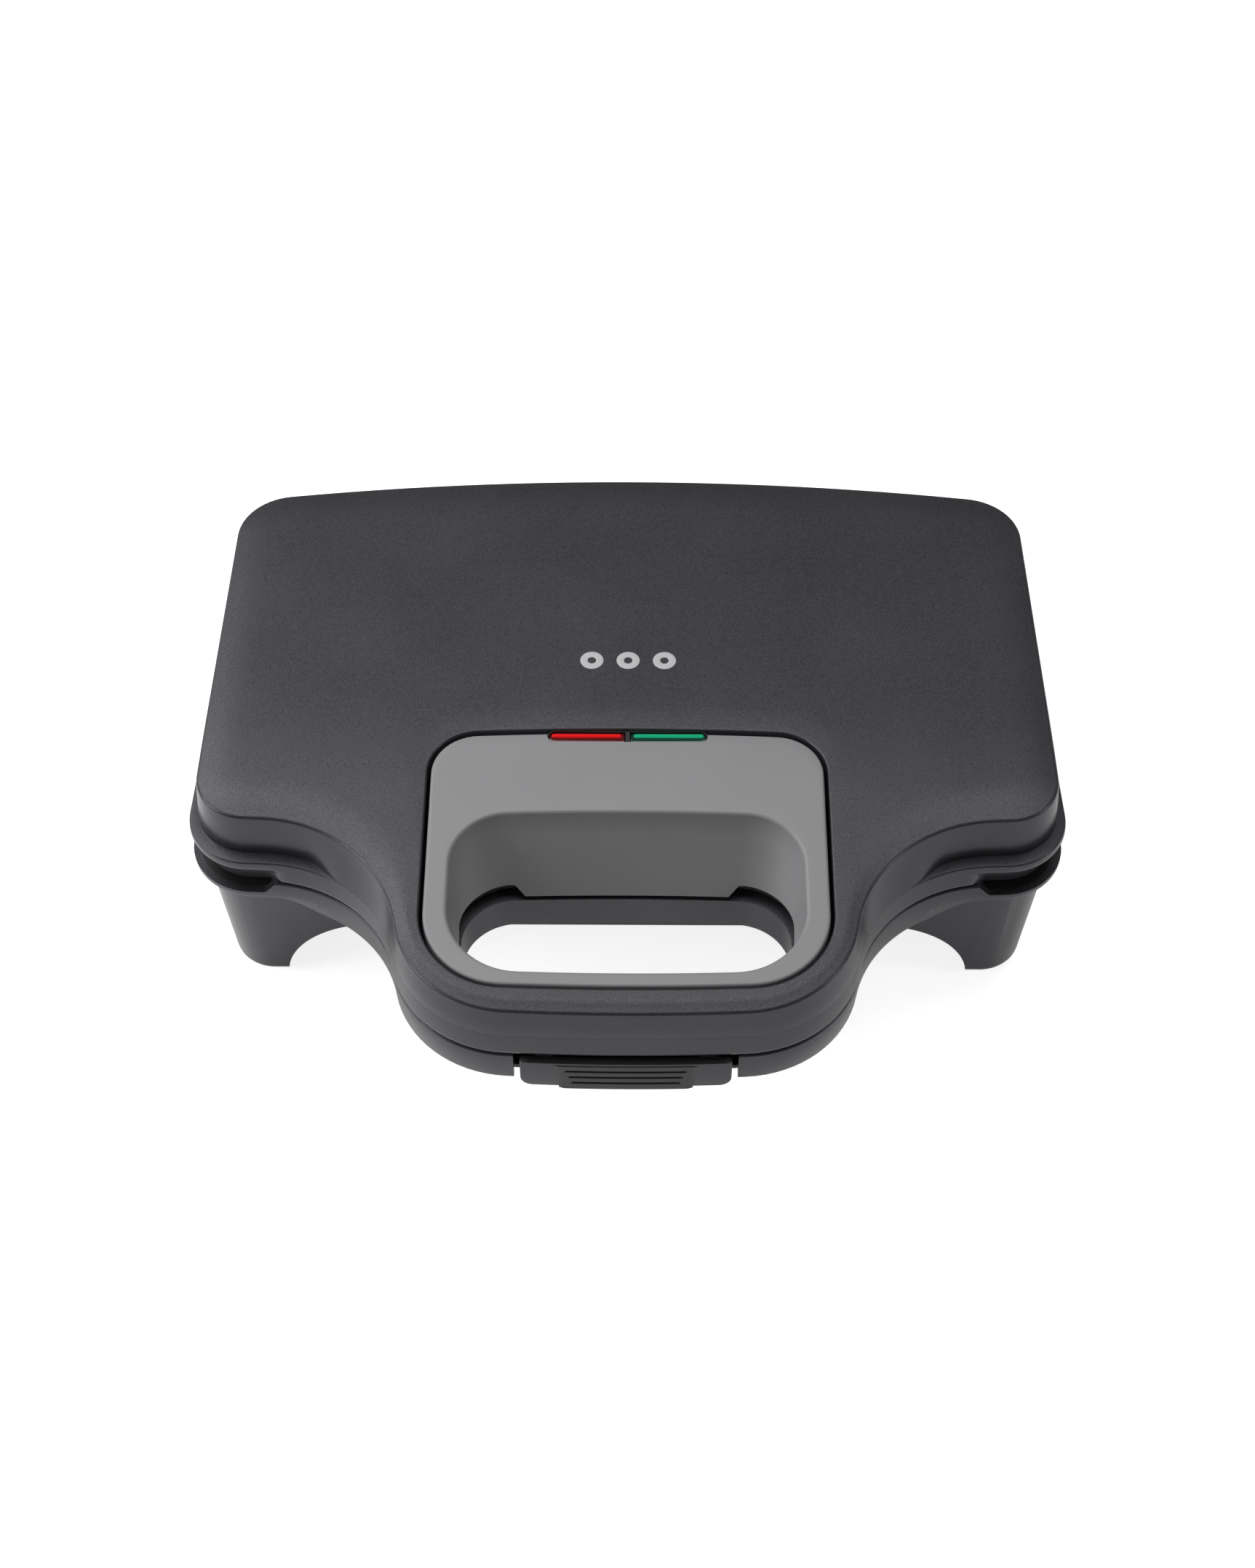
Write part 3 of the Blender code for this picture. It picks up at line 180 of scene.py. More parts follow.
greenLens = plasticMaterial("greenLens", (0.001, 0.030, 0.018), (0.002, 0.042, 0.026), 0.12, 1.2, 0.008,
                            **{"Coat Weight": 0.6})
greenBar = plasticMaterial("greenBar", (0.004, 0.27, 0.125), (0.006, 0.33, 0.155), 0.2, 1.5, 0.008,
                           **{"Emission Color": (0.005, 0.31, 0.145), "Emission Strength": 0.35})
neonGlass = plasticMaterial("neonGlass", (0.55, 0.42, 0.32), (0.70, 0.55, 0.42), 0.08, 2, 0.004)
markPrint = plasticMaterial("markPrint", (0.46, 0.46, 0.47), (0.54, 0.54, 0.55), 0.45, 0.4, 0.01)
fibreSleeve = plasticMaterial("fibreSleeve", (0.42, 0.40, 0.34), (0.72, 0.70, 0.64), 0.85, 0.6, 0.15)


def metalMaterial(name, dark, light, roughness, stretch, depth):
    # drawn metal: streaks along X, with faint stains
    def build(wires, place):
        streaks = noise(wires, place * stretch, 1.0, 4.0, 0.6)
        stains = noise(wires, place, 14, 3.0, 0.6)
        return {"Base Color": (streaks * 0.4 + stains * 0.6).blend(dark, light),
                "Roughness": roughness + stains * 0.16 + streaks * 0.08,
                "Normal": bump(wires, streaks, 0.25, depth)}
    return newMaterial(name, {"Metallic": 1.0}, build)


steel = metalMaterial("platedSteel", (0.42, 0.42, 0.43), (0.60, 0.60, 0.62), 0.22, (0.15, 1, 1), 0.02)
sheath = metalMaterial("elementSheath", (0.16, 0.14, 0.12), (0.34, 0.31, 0.28), 0.42, (1, 1, 1), 0.04)
sheetMetal = metalMaterial("aluminisedSheet", (0.44, 0.44, 0.45), (0.66, 0.66, 0.67), 0.28, (0.2, 1, 1), 0.02)


def coatingBuild(wires, place):
    specks = spread(wires, noise(wires, place, 0.6, 2.0, 0.7), 0.64, 0.74)
    clouds = noise(wires, place, 20, 2.0)
    baked = spread(wires, noise(wires, place, 9, 4.0, 0.6), 0.55, 0.9)
    colour = (specks * 0.35 + clouds * 0.25).blend((0.014, 0.014, 0.015), (0.075, 0.075, 0.078))
    return {"Base Color": colour, "Roughness": 0.34 + clouds * 0.1 + baked * 0.1,
            "Normal": bump(wires, noise(wires, place, 0.9, 3.0), 0.3, 0.03)}


nonstick = newMaterial("nonstickCoating", {"Metallic": 0.1}, coatingBuild)
print("materials ready")


# loops and forms, in millimetres
planSteps = dict(front=8, handle=16, waist=26, ear=18, side=10, corner=14, rear=12)
shape = dict(roofZ=80.8, fallStart=-19.5, fallBlend=14.0, fallSlope=tan(radians(4.3)), ledgeZ=63.5,
             lidBottomZ=55.5, rimZ=54.5, flangeZ=48.0, handleZ=43.0, draft=tan(radians(5)), earRise=0.2)
lidForm = dict(front=-106.3, frontBow=640, handleHalf=66, handleR=34, waistR=43, earFront=-41.1, earHalf=126.3,
               earR=15.5, rearHalf=124.5, rearR=18, rear=99.5, rearBow=800)
insertForm = dict(half=57.5, front=-97.4, rear=-9.7, frontR=23.5, rearR=14, bow=900)
recessForm = dict(half=50.7, front=-92.7, rear=-38.9, frontR=21, rearR=17, bow=900)
holeForm = dict(half=47.8, front=-91.2, rear=-52.0, frontR=20, rearR=16, bow=900)
plateForm = dict(half=113, front=-36.5, rear=87.5, frontR=14, rearR=14, bow=4000)


def leanOut(z):
    return (77.5 - z) * shape["draft"]


lipForm = dict(lidForm, front=lidForm["front"] - leanOut(shape["ledgeZ"]),
               handleHalf=lidForm["handleHalf"] + leanOut(shape["ledgeZ"]),
               handleR=lidForm["handleR"] + leanOut(shape["ledgeZ"]), waistR=42, earFront=-46.4, earHalf=130.0,
               earR=19, rearHalf=126.6, rearR=20, rear=101.7)
bodyForm = dict(lipForm, waistR=42, earFront=-43.8, earHalf=126.8, earR=17, rearHalf=124.0, rearR=18, rear=100.0)


def arcPoints(cx, cy, r, a0, a1, n, first=True):
    turn = np.linspace(a0, a1, n + 1)[0 if first else 1:]
    return np.column_stack([cx + r * np.cos(turn), cy + r * np.sin(turn)])


def mirrorLoop(half):
    return np.vstack([half, half[-2:0:-1] * [-1, 1]])


def planOutline(form, grow=0.0):
    # the appliance's outline, counter-clockwise from the middle of the front
    f, n = form, planSteps
    bowY = f["front"] + f["frontBow"]
    hx = f["handleHalf"] - f["handleR"]
    hy = bowY - sqrt((f["frontBow"] - f["handleR"]) ** 2 - hx ** 2)
    wy = f["earFront"] - f["waistR"]
    wx = hx + sqrt((f["handleR"] + f["waistR"]) ** 2 - (wy - hy) ** 2)
    ex, ey = f["earHalf"] - f["earR"], f["earFront"] + shape["earRise"] + f["earR"]
    rx, backY = f["rearHalf"] - f["rearR"], f["rear"] - f["rearBow"]
    ry = backY + sqrt((f["rearBow"] - f["rearR"]) ** 2 - rx ** 2)
    aBow, aHandle = atan2(hy - bowY, hx), atan2(wy - hy, wx - hx)
    aWaist = atan2(ey - wy, ex - wx) + acos((f["waistR"] + f["earR"]) / hypot(ex - wx, ey - wy))
    aSide = atan2(ry - ey, rx - ex) - acos((f["earR"] - f["rearR"]) / hypot(rx - ex, ry - ey))
    aRear = atan2(ry - backY, rx)
    ear = arcPoints(ex, ey, f["earR"] + grow, aWaist - pi, aSide, n["ear"])
    corner = arcPoints(rx, ry, f["rearR"] + grow, aSide, aRear, n["corner"])
    side = np.linspace(ear[-1], corner[0], n["side"] + 1)[1:-1]
    return mirrorLoop(np.vstack([
        arcPoints(0, bowY, f["frontBow"] + grow, -pi / 2, aBow, n["front"]),
        arcPoints(hx, hy, f["handleR"] + grow, aBow, aHandle, n["handle"], False),
        arcPoints(wx, wy, f["waistR"] - grow, aHandle + pi, aWaist, n["waist"], False),
        ear, side, corner,
        arcPoints(0, backY, f["rearBow"] + grow, aRear, pi / 2, n["rear"], False)]))


def mingle(front, rear, start, end):
    # front round the handle and the waists, giving way to rear from start to end along X
    share = np.maximum(smooth(np.abs(rear[:, 0]), start, end), smooth(rear[:, 1], -40, -30))[:, None]
    return front + (rear - front) * share


def footOutline(t):
    # the lid's wall, from its edge at 0 to its foot at 1; beside the waists it flares out to meet the lip
    wall, lip = planOutline(lidForm, leanOut(shape["ledgeZ"]) * t), planOutline(lipForm)
    return mingle(wall + (lip - wall) * t ** 1.6, wall, 81.5, 94)


def beltOutline(grow, handleGrow):
    # the body under the lip: flush with the lip round the handle, and set back below it at the corners
    return mingle(planOutline(lipForm, handleGrow), planOutline(bodyForm, grow), 88, 104)


def panelOutline(form, grow=0.0, side=54):
    # a four-cornered loop; with side=54 it has as many points as planOutline
    f = form
    fy, fx = f["front"] + f["bow"], f["half"] - f["frontR"]
    fcy = fy - sqrt((f["bow"] - f["frontR"]) ** 2 - fx ** 2)
    by, bx = f["rear"] - f["bow"], f["half"] - f["rearR"]
    bcy = by + sqrt((f["bow"] - f["rearR"]) ** 2 - bx ** 2)
    front, rear = atan2(fcy - fy, fx), atan2(bcy - by, bx)
    corner = arcPoints(fx, fcy, f["frontR"] + grow, front, 0, 16, False)
    back = arcPoints(bx, bcy, f["rearR"] + grow, 0, rear, 14)
    along = np.linspace(0, 1, side + 2)[1:-1, None] ** 0.4
    return mirrorLoop(np.vstack([
        arcPoints(0, fy, f["bow"] + grow, -pi / 2, front, 8), corner,
        corner[-1] + (back[0] - corner[-1]) * along, back,
        arcPoints(0, by, f["bow"] + grow, rear, pi / 2, 12, False)]))


def roofAt(y):
    # the lid's top: level behind, falling towards the handle
    t = shape["fallStart"] - np.asarray(y, float)
    b = shape["fallBlend"]
    run = np.where(t <= -b, 0, np.where(t >= b, t, (t + b) ** 2 / (4 * b)))
    return shape["roofZ"] - shape["fallSlope"] * run


def lift(loop, z):
    return np.column_stack([loop, np.broadcast_to(z, len(loop))])


def smooth(value, low, high):
    t = np.clip((np.asarray(value, float) - low) / (high - low), 0, 1)
    return t * t * (3 - 2 * t)


def cornerSteps(count):
    return [pi / 2 * i / count for i in range(count + 1)]


# turning loops into objects
def makeObject(name, bm, material=None, sharp=35):
    bmesh.ops.remove_doubles(bm, verts=bm.verts, dist=0.000002)
    bmesh.ops.recalc_face_normals(bm, faces=bm.faces)
    mesh = bpy.data.meshes.new(name)
    bm.to_mesh(mesh)
    bm.free()
    made = bpy.data.objects.new(name, mesh)
    bpy.context.scene.collection.objects.link(made)
    if material:
        mesh.materials.append(material)
    mesh.shade_smooth()
    mesh.set_sharp_from_angle(angle=radians(sharp))
    return made


def loftLoops(name, rings, material=None, closed=False, sharp=35):
    # skins equal loops; the ends are filled, or joined when closed
    bm = bmesh.new()
    loops = [[bm.verts.new(Vector(p) * mm) for p in ring] for ring in rings]
    pairs = list(zip(loops, loops[1:])) + ([(loops[-1], loops[0])] if closed else [])
    count = len(loops[0])
    for a, b in pairs:
        for i in range(count):
            j = (i + 1) % count
            bm.faces.new((a[i], a[j], b[j], b[i]))
    if not closed:
        bm.faces.new(loops[0])
        bm.faces.new(loops[-1])
    return makeObject(name, bm, material, sharp)


def slab(name, loopOf, low, high, material=None, top=0.0, bottom=0.0, steps=3):
    # a plate from low to high with rounded upper and lower edges; loopOf(grow) gives its outline
    rings = []
    for a in cornerSteps(steps) if bottom else [pi / 2]:
        rings.append(lift(loopOf(-bottom * (1 - sin(a))), low + bottom * (1 - cos(a))))
    for a in cornerSteps(steps) if top else [0]:
        rings.append(lift(loopOf(-top * (1 - cos(a))), high - top * (1 - sin(a))))
    return loftLoops(name, rings, material)


def sideways(name, loop, x0, x1, material=None, along="x", sharp=35):
    # an outline in (y, z) extruded along X, or in (x, z) extruded along Y
    place = (lambda u, v, w: (w, u, v)) if along == "x" else (lambda u, v, w: (u, w, v))
    return loftLoops(name, [[place(u, v, w) for u, v in loop] for w in (x0, x1)], material, sharp=sharp)


def spin(name, profile, centre, material=None, along="z", steps=48):
    # a closed profile of (radius, height) turned about an axis
    bm = bmesh.new()
    columns = []
    for k in range(steps):
        a = 2 * pi * k / steps
        columns.append([bm.verts.new(Vector((r * cos(a), r * sin(a), h)) * mm) for r, h in profile])
    count = len(profile)
    for k in range(steps):
        a, b = columns[k], columns[(k + 1) % steps]
        for i in range(count):
            j = (i + 1) % count
            bm.faces.new((a[i], b[i], b[j], a[j]))
    turn = {"z": Matrix(), "x": Matrix.Rotation(pi / 2, 4, "Y"), "y": Matrix.Rotation(-pi / 2, 4, "X")}[along]
    bmesh.ops.transform(bm, matrix=Matrix.Translation(Vector(centre) * mm) @ turn, verts=bm.verts)
    return makeObject(name, bm, material)


def boxBetween(name, x0, x1, y0, y1, z0, z1):
    return sideways(name, [(y0, z0), (y1, z0), (y1, z1), (y0, z1)], x0, x1)


def softEdges(piece, width, segments=2, angle=38):
    bevel = piece.modifiers.new("softEdges", "BEVEL")
    bevel.width = width * mm
    bevel.segments = segments
    bevel.limit_method = "ANGLE"
    bevel.angle_limit = radians(angle)
    bevel.use_clamp_overlap = True
    bevel.harden_normals = False
    return piece


def settle(piece, sharp=35):
    # keeps the shape that the modifiers give, and removes them
    graph = bpy.context.evaluated_depsgraph_get()
    mesh = bpy.data.meshes.new_from_object(piece.evaluated_get(graph))
    old = piece.data
    piece.modifiers.clear()
    piece.data = mesh
    bpy.data.meshes.remove(old)
    mesh.shade_smooth()
    mesh.set_sharp_from_angle(angle=radians(sharp))
    return piece


def carve(piece, *steps, sharp=35):
    # steps are pairs of an operation and a tool; the tools are used up
    for operation, tool in steps:
        boolean = piece.modifiers.new(tool.name, "BOOLEAN")
        boolean.operation = operation
        boolean.solver = "EXACT"
        boolean.object = tool
    settle(piece, sharp)
    for _, tool in steps:
        bpy.data.objects.remove(tool)
    return piece


def fit(piece, body, material, slot, *nodes):
    # hangs a piece on its body, with its finish and the CAD nodes that it stands for
    if not piece.data.materials:
        piece.data.materials.append(material)
    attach(piece, body)
    if nodes:
        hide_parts(*nodes)
    return piece


# the lid's shell and its hinge knuckles
lidLook = dict(shoulder=1.5, reach=13, handleReach=5, edgeR=1.2, openingLip=0.6, openingDepth=9.0, slot=1.1,
               rings=15, wall=2.2, ledgeR=0.7, ventX=(101.0, 106.5), ventY=(-19.0, -11.0))
# the lid's skirt below the ledge, as (height, grow): plain, and where it hollows in over a steam vent
skirtLook = [((60.9, 0.2), (61.2, 0.15)), ((60.5, 0.25), (60.4, -0.1)), ((60.0, 0.3), (59.9, -1.0)),
             ((59.2, 0.38), (59.0, -1.6)), ((58.2, 0.45), (57.6, -2.0)), ((57.2, 0.52), (56.2, -2.3)),
             ((56.4, 0.58), (54.8, -2.8)), ((55.85, 0.45), (53.2, -3.2)), ((55.5, 0.1), (52.5, -3.5)),
             ((55.5, -1.9), (52.5, -4.6)), ((61.0, -1.9), (61.0, -5.0))]


def nearOutline(points, outline):
    # how far each point lies from a closed outline, in plan
    along = np.roll(outline, -1, 0) - outline
    away = points[:, None, :2] - outline
    t = np.clip((away * along).sum(2) / (along ** 2).sum(1), 0, 1)
    return np.sqrt(((away - along * t[:, :, None]) ** 2).sum(2)).min(1)


def ventShare(loop):
    # 1 at the two front corners, where steam leaves, fading to 0 beside them
    x, y = np.abs(loop[:, 0]), loop[:, 1]
    return smooth(x, *lidLook["ventX"]) * (1 - smooth(y, *lidLook["ventY"]))


def lidShell():
    look = lidLook
    outline = planOutline(lidForm)

    def top(loop, drop=0.0):
        gap = nearOutline(loop, outline)
        reach = look["handleReach"] + (look["reach"] - look["handleReach"]) * smooth(loop[:, 1], -75, -45)
        slope = look["shoulder"] * (1 - np.clip(gap / reach, 0, 1)) ** 2.2
        return lift(loop, roofAt(loop[:, 1]) - slope - drop)

    lip = look["openingLip"]
    rings = [top(panelOutline(insertForm, look["slot"]), look["openingDepth"])]
    for a in cornerSteps(4):
        rings.append(top(panelOutline(insertForm, look["slot"] + lip * (1 - cos(a))), lip * (1 - sin(a))))
    start, end = panelOutline(insertForm, look["slot"] + lip), planOutline(lidForm, -4.0)
    for i in range(1, look["rings"]):
        t = 1 - (1 - i / look["rings"]) ** 1.4
        rings.append(top(start + (end - start) * t))
    for grow in (-4.0, -2.8):
        rings.append(top(planOutline(lidForm, grow)))
    edge = look["edgeR"]
    rim = top(planOutline(lidForm, -edge))[:, 2] - edge
    for a in cornerSteps(5):
        rings.append(lift(planOutline(lidForm, -edge + edge * sin(a)), rim + edge * cos(a)))
    low = shape["ledgeZ"]
    for t in (0.2, 0.4, 0.6, 0.8):
        rings.append(lift(footOutline(t), rim + (low - rim) * t))
    foot = footOutline(1.0)
    rings.append(lift(foot, low))
    brow = planOutline(lipForm, 0.02)
    ledge = np.sqrt(((brow - foot) ** 2).sum(1))
    inward = (foot - brow) / np.maximum(ledge, 1e-3)[:, None]
    r = np.minimum(look["ledgeR"], ledge * 0.45)
    for a in cornerSteps(4):
        rings.append(lift(brow + inward * (r * (1 - sin(a)))[:, None], low - r * (1 - cos(a))))
    for (z, grow), (ventZ, ventGrow) in skirtLook:
        loop = planOutline(lipForm, grow)
        share = ventShare(loop)[:, None]
        rings.append(np.column_stack([loop * (1 - share) + planOutline(lipForm, ventGrow) * share,
                                      z + (ventZ - z) * share]))
    rings.append(lift(planOutline(lidForm, leanOut(low) - look["wall"]), low - 0.4))
    rings.append(lift(planOutline(lidForm, -look["wall"]), rim - 1.0))
    rings.append(top(planOutline(lidForm, -6.0), look["wall"]))
    for t in (0.5, 1.0):
        rings.append(top(planOutline(lidForm, -6.0) * (1 - t) + panelOutline(insertForm, 3.4) * t, look["wall"]))
    rings.append(top(panelOutline(insertForm, 3.4), look["openingDepth"]))
    return loftLoops("lidShell", rings, charcoalPaint, closed=True)


hinge = dict(y=106.2, z=55.0, x=72.0, knuckleR=3.3, knuckle=16.0, lug=7.0, pinR=1.5, gap=0.4)


def hingeLeaf(name, x, width, arm):
    # a knuckle with its arm to the wall, drawn in side view with the pin's bore through it
    y, z, r, half = hinge["y"], hinge["z"], hinge["knuckleR"], width / 2
    boreR, soft = hinge["pinR"] + 0.3, 0.25
    profile = [(r - soft, half), (r, half - soft), (r, -half + soft), (r - soft, -half),
               (boreR, -half), (boreR, half)]
    barrel = spin(name, profile, (x, y, z), None, "x", 40)
    web = sideways(name + "Web", arm, x - half + 0.05, x + half - 0.05)
    profile = [(0.001, width), (boreR, width), (boreR, -width), (0.001, -width)]
    bore = spin(name + "Bore", profile, (x, y, z), None, "x", 40)
    carve(web, ("DIFFERENCE", bore))
    carve(barrel, ("UNION", web))
    return softEdges(barrel, 0.25)


def wallAt(form, x):
    return form["rear"] - x ** 2 / (2 * form["rearBow"])


fit(lidShell(), "lid", charcoalPaint, "charcoal_paint", "lid_housing")
for side, sign in (("Left", -1), ("Right", 1)):
    y, z = hinge["y"], hinge["z"]
    root = wallAt(lipForm, hinge["x"]) - 0.6
    arm = [(y + 2.6, z + 1.6), (y - 0.6, 62.3), (root, 62.3), (root, 56.1), (y - 2.2, 56.1), (y - 1.0, z + 2.4)]
    fit(hingeLeaf("lidKnuckle" + side, sign * hinge["x"], hinge["knuckle"], arm), "lid", charcoalPaint,
        "charcoal_paint")
print("lid built")


# grip insert, lamps and printed mark
insertLook = dict(drop=0.5, edgeR=0.7, rimR=1.2, wall=2.0, bottomZ=56.2, tabHalf=31.0, tabDrop=3.2)
lampLook = dict(half=23.8, width=4.6, y=-10.9, split=0.6, lensDrop=0.9, barWidth=1.5, barHalf=10.4, barX=12.2)


def pillLoop(x0, x1, y, r, count=12):
    right = arcPoints(x1 - r, y, r, -pi / 2, pi / 2, count)
    left = arcPoints(x0 + r, y, r, pi / 2, pi * 1.5, count)
    return np.vstack([right, left])


def gripInsert():
    look = insertLook

    def top(form, grow, drop=0.0):
        loop = panelOutline(form, grow)
        return lift(loop, roofAt(loop[:, 1]) - look["drop"] - drop)

    def funnel(depth, out):
        # the wall of the finger hole at a depth from 0 to 1, out from its inner face
        high, low = panelOutline(recessForm, out), panelOutline(holeForm, out)
        z = roofAt(high[:, 1]) - look["drop"] - look["rimR"]
        beside = smooth(np.abs(low[:, 0]), look["tabHalf"], look["tabHalf"] + 1.6)
        bottom = look["bottomZ"] + look["tabDrop"] * beside * smooth(low[:, 1], -76, -66)
        full = (z - bottom) / (z - look["bottomZ"])
        share = (depth * full)[:, None]
        return np.column_stack([high * (1 - share) + low * share, z + (bottom - z) * depth])

    rings = []
    for a in cornerSteps(3):
        rings.append(top(insertForm, -look["edgeR"] * (1 - cos(a)), look["edgeR"] * (1 - sin(a))))
    for t in np.linspace(0, 1, 9)[1:-1]:
        outer, inner = panelOutline(insertForm, -look["edgeR"]), panelOutline(recessForm, look["rimR"])
        loop = outer * (1 - t) + inner * t
        rings.append(lift(loop, roofAt(loop[:, 1]) - look["drop"]))
    for a in cornerSteps(7):
        rings.append(top(recessForm, look["rimR"] * (1 - sin(a)), look["rimR"] * (1 - cos(a))))
    for depth in (0.25, 0.5, 0.75, 0.97, 1.0):
        rings.append(funnel(depth, 0.12 if depth == 1 else 0))
    rings.append(funnel(1.0, look["wall"] - 0.3))
    rings.append(funnel(0.5, look["wall"]))
    rings.append(top(recessForm, look["wall"] + 0.6, look["wall"] + 0.6))
    rings.append(top(insertForm, -look["wall"], look["wall"] + 1.0))
    rings.append(top(insertForm, -look["wall"], 8.0))
    rings.append(top(insertForm, 0, 8.0))
    return loftLoops("gripInsert", rings, satinGrey, closed=True)


insert = gripInsert()
lampTop = float(roofAt(lampLook["y"])) - insertLook["drop"]
slotR = lampLook["width"] / 2
slotLoop = pillLoop(-lampLook["half"], lampLook["half"], lampLook["y"], slotR)
carve(insert, ("DIFFERENCE", loftLoops("lampSlot", [lift(slotLoop, z) for z in (lampTop - 9, lampTop + 4)])))
fit(insert, "lid", satinGrey, "satin_grey", "handle_insert")


def lampTray():
    # a black tray under the lamps, whose walls line the slot and whose fin parts them
    look = lampLook

    def ring(grow, z):
        return lift(pillLoop(-look["half"] - grow, look["half"] + grow, look["y"], slotR + grow), z)

    walls = ((-0.05, 0.45), (-0.35, 0.45), (-0.35, 3.4), (-1.2, 3.5), (-1.2, 5.0), (-0.05, 4.9))
    tray = loftLoops("lampTray", [ring(grow, lampTop - down) for grow, down in walls], blackPlastic, closed=True)
    finHalf, y = slotR - 0.2, look["y"]
    fin = boxBetween("lampFin", -look["split"], look["split"], y - finHalf, y + finHalf,
                     lampTop - 5.0, lampTop - 0.5)
    floorHalf = look["half"] - 1
    floor = boxBetween("lampFloor", -floorHalf, floorHalf, y - 1.6, y + 1.6, lampTop - 4.9, lampTop - 4.2)
    return carve(tray, ("UNION", fin), ("UNION", floor))


def lampLens(name, sign, material):
    # a lens in one half of the slot: round at its outer end, square at the fin, with a domed top
    look, r = lampLook, slotR - 0.42
    inner, outer = look["split"] + 0.15, look["half"] - 0.42
    loop = np.vstack([arcPoints(outer - r, look["y"], r, -pi / 2, pi / 2, 12),
                      [(inner, look["y"] + r), (inner, look["y"] - r)]]) * [sign, 1]
    middle = np.array([(inner + outer) / 2 * sign, look["y"]])
    high = lampTop - look["lensDrop"]
    rings = [lift(loop, high - 3.0), lift(loop, high - 0.5)]
    for a in cornerSteps(4)[1:]:
        rings.append(lift(middle + (loop - middle) * [1 - 0.045 * (1 - cos(a)), 1 - 0.42 * (1 - cos(a))],
                          high - 0.5 * (1 - sin(a))))
    return loftLoops(name, rings, material)


def lampBar(name, sign, material):
    # the bright light guide along the rear of a lens
    look, y, r = lampLook, lampLook["y"] + 0.75, lampLook["barWidth"] / 2
    x = sign * look["barX"]
    high = lampTop - look["lensDrop"] + 0.28
    loop = pillLoop(x - look["barHalf"], x + look["barHalf"], y, r, 8)
    rim = pillLoop(x - look["barHalf"] + 0.3, x + look["barHalf"] - 0.3, y, r - 0.3, 8)
    return loftLoops(name, [lift(loop, high - 1.2), lift(loop, high - 0.25), lift(rim, high)], material)


fit(lampTray(), "lid", blackPlastic, "black_plastic", "lamp_holder")
fit(lampLens("redLamp", -1, redLens), "lid", redLens, "red_lens", "red_lamp_lens")
fit(lampLens("greenLamp", 1, greenLens), "lid", greenLens, "green_lens", "green_lamp_lens")
fit(lampBar("redLampBar", -1, redBar), "lid", redBar, "red_lens")
fit(lampBar("greenLampBar", 1, greenBar), "lid", greenBar, "green_lens")

markLook = dict(y=19.0, pitch=11.0, outer=3.5, inner=1.3, height=0.06)


def ringMark(name, x):
    # one of three plain rings printed on the lid
    outer, inner, h = markLook["outer"], markLook["inner"], markLook["height"]
    z = float(roofAt(markLook["y"]))
    profile = [(outer, -0.1), (outer, h * 0.6), (outer - 0.08, h),
               (inner + 0.08, h), (inner, h * 0.6), (inner, -0.1)]
    return spin(name, profile, (x, markLook["y"], z), markPrint)


for place, x in (("Left", -1), ("Middle", 0), ("Right", 1)):
    fit(ringMark("ringMark" + place, x * markLook["pitch"]), "lid", markPrint, "satin_grey")
print("insert, lamps and mark built")


# the base's shell, hinge lugs and pins
baseLook = dict(legBottomZ=1.2, bellyZ=28.5, archR=30.0, legWidth=17.0, legDepth=24.0, wall=2.2, legR=3.0,
                ventDrop=4.3, ventX=105.3, ventRear=-16.0, pocketWidth=5.5, pocketFloorZ=49.8, pocketHalf=31.6,
                pocketRear=-98.8, shelfY=-103.2, shelfZ=44.6, collar=3.3, catchHalf=12.3, catchZ=(49.9, 52.3))


def bodyLoop(grow):
    # the body below the handle: the ears run straight across the front
    loop = planOutline(bodyForm, grow)
    front = bodyForm["earFront"] - grow
    outer = (loop[:, 1] > front + 0.3) | (np.abs(loop[:, 0]) > bodyForm["earHalf"] - bodyForm["earR"])
    return loop[outer & (loop[:, 1] > front - 0.5)]


def tunnel(name, half, z, r, along, middle=0.0):
    # parts the legs: open below, with rounded upper corners
    loop = [(middle - half, -10), (middle + half, -10)]
    loop += [tuple(p) for p in arcPoints(middle + half - r, z - r, r, 0, pi / 2, 20)]
    loop += [tuple(p) for p in arcPoints(middle - half + r, z - r, r, pi / 2, pi, 20)]
    return sideways(name, loop, -200, 200, None, along)


def ventRing(name, loopOf, low, high):
    # the part of a band along the outline that lies at the two front corners
    ring = loftLoops(name, [lift(loopOf(0), low), lift(loopOf(0), high)])
    core = loftLoops(name + "Core", [lift(loopOf(1), 0), lift(loopOf(1), 90)])
    return carve(ring, ("DIFFERENCE", core))


def ventZone(name, sign, low, high, slant=0.0):
    # the front corner beyond a side that is upright, or an S between low and the rim
    x, rimZ = baseLook["ventX"], shape["rimZ"]
    curve = [(x, low), (x, high)]
    if slant:
        steps = np.linspace(0, 1, 9)
        curve = [(x + slant * (1 - 2 * t), low + (rimZ - low) * float(smooth(t, 0, 1))) for t in steps]
        curve.append((x - slant, high))
    loop = curve + [(140, high), (140, low)]
    return loftLoops(name, [[(sign * u, y, z) for u, z in loop] for y in (-60, baseLook["ventRear"])])


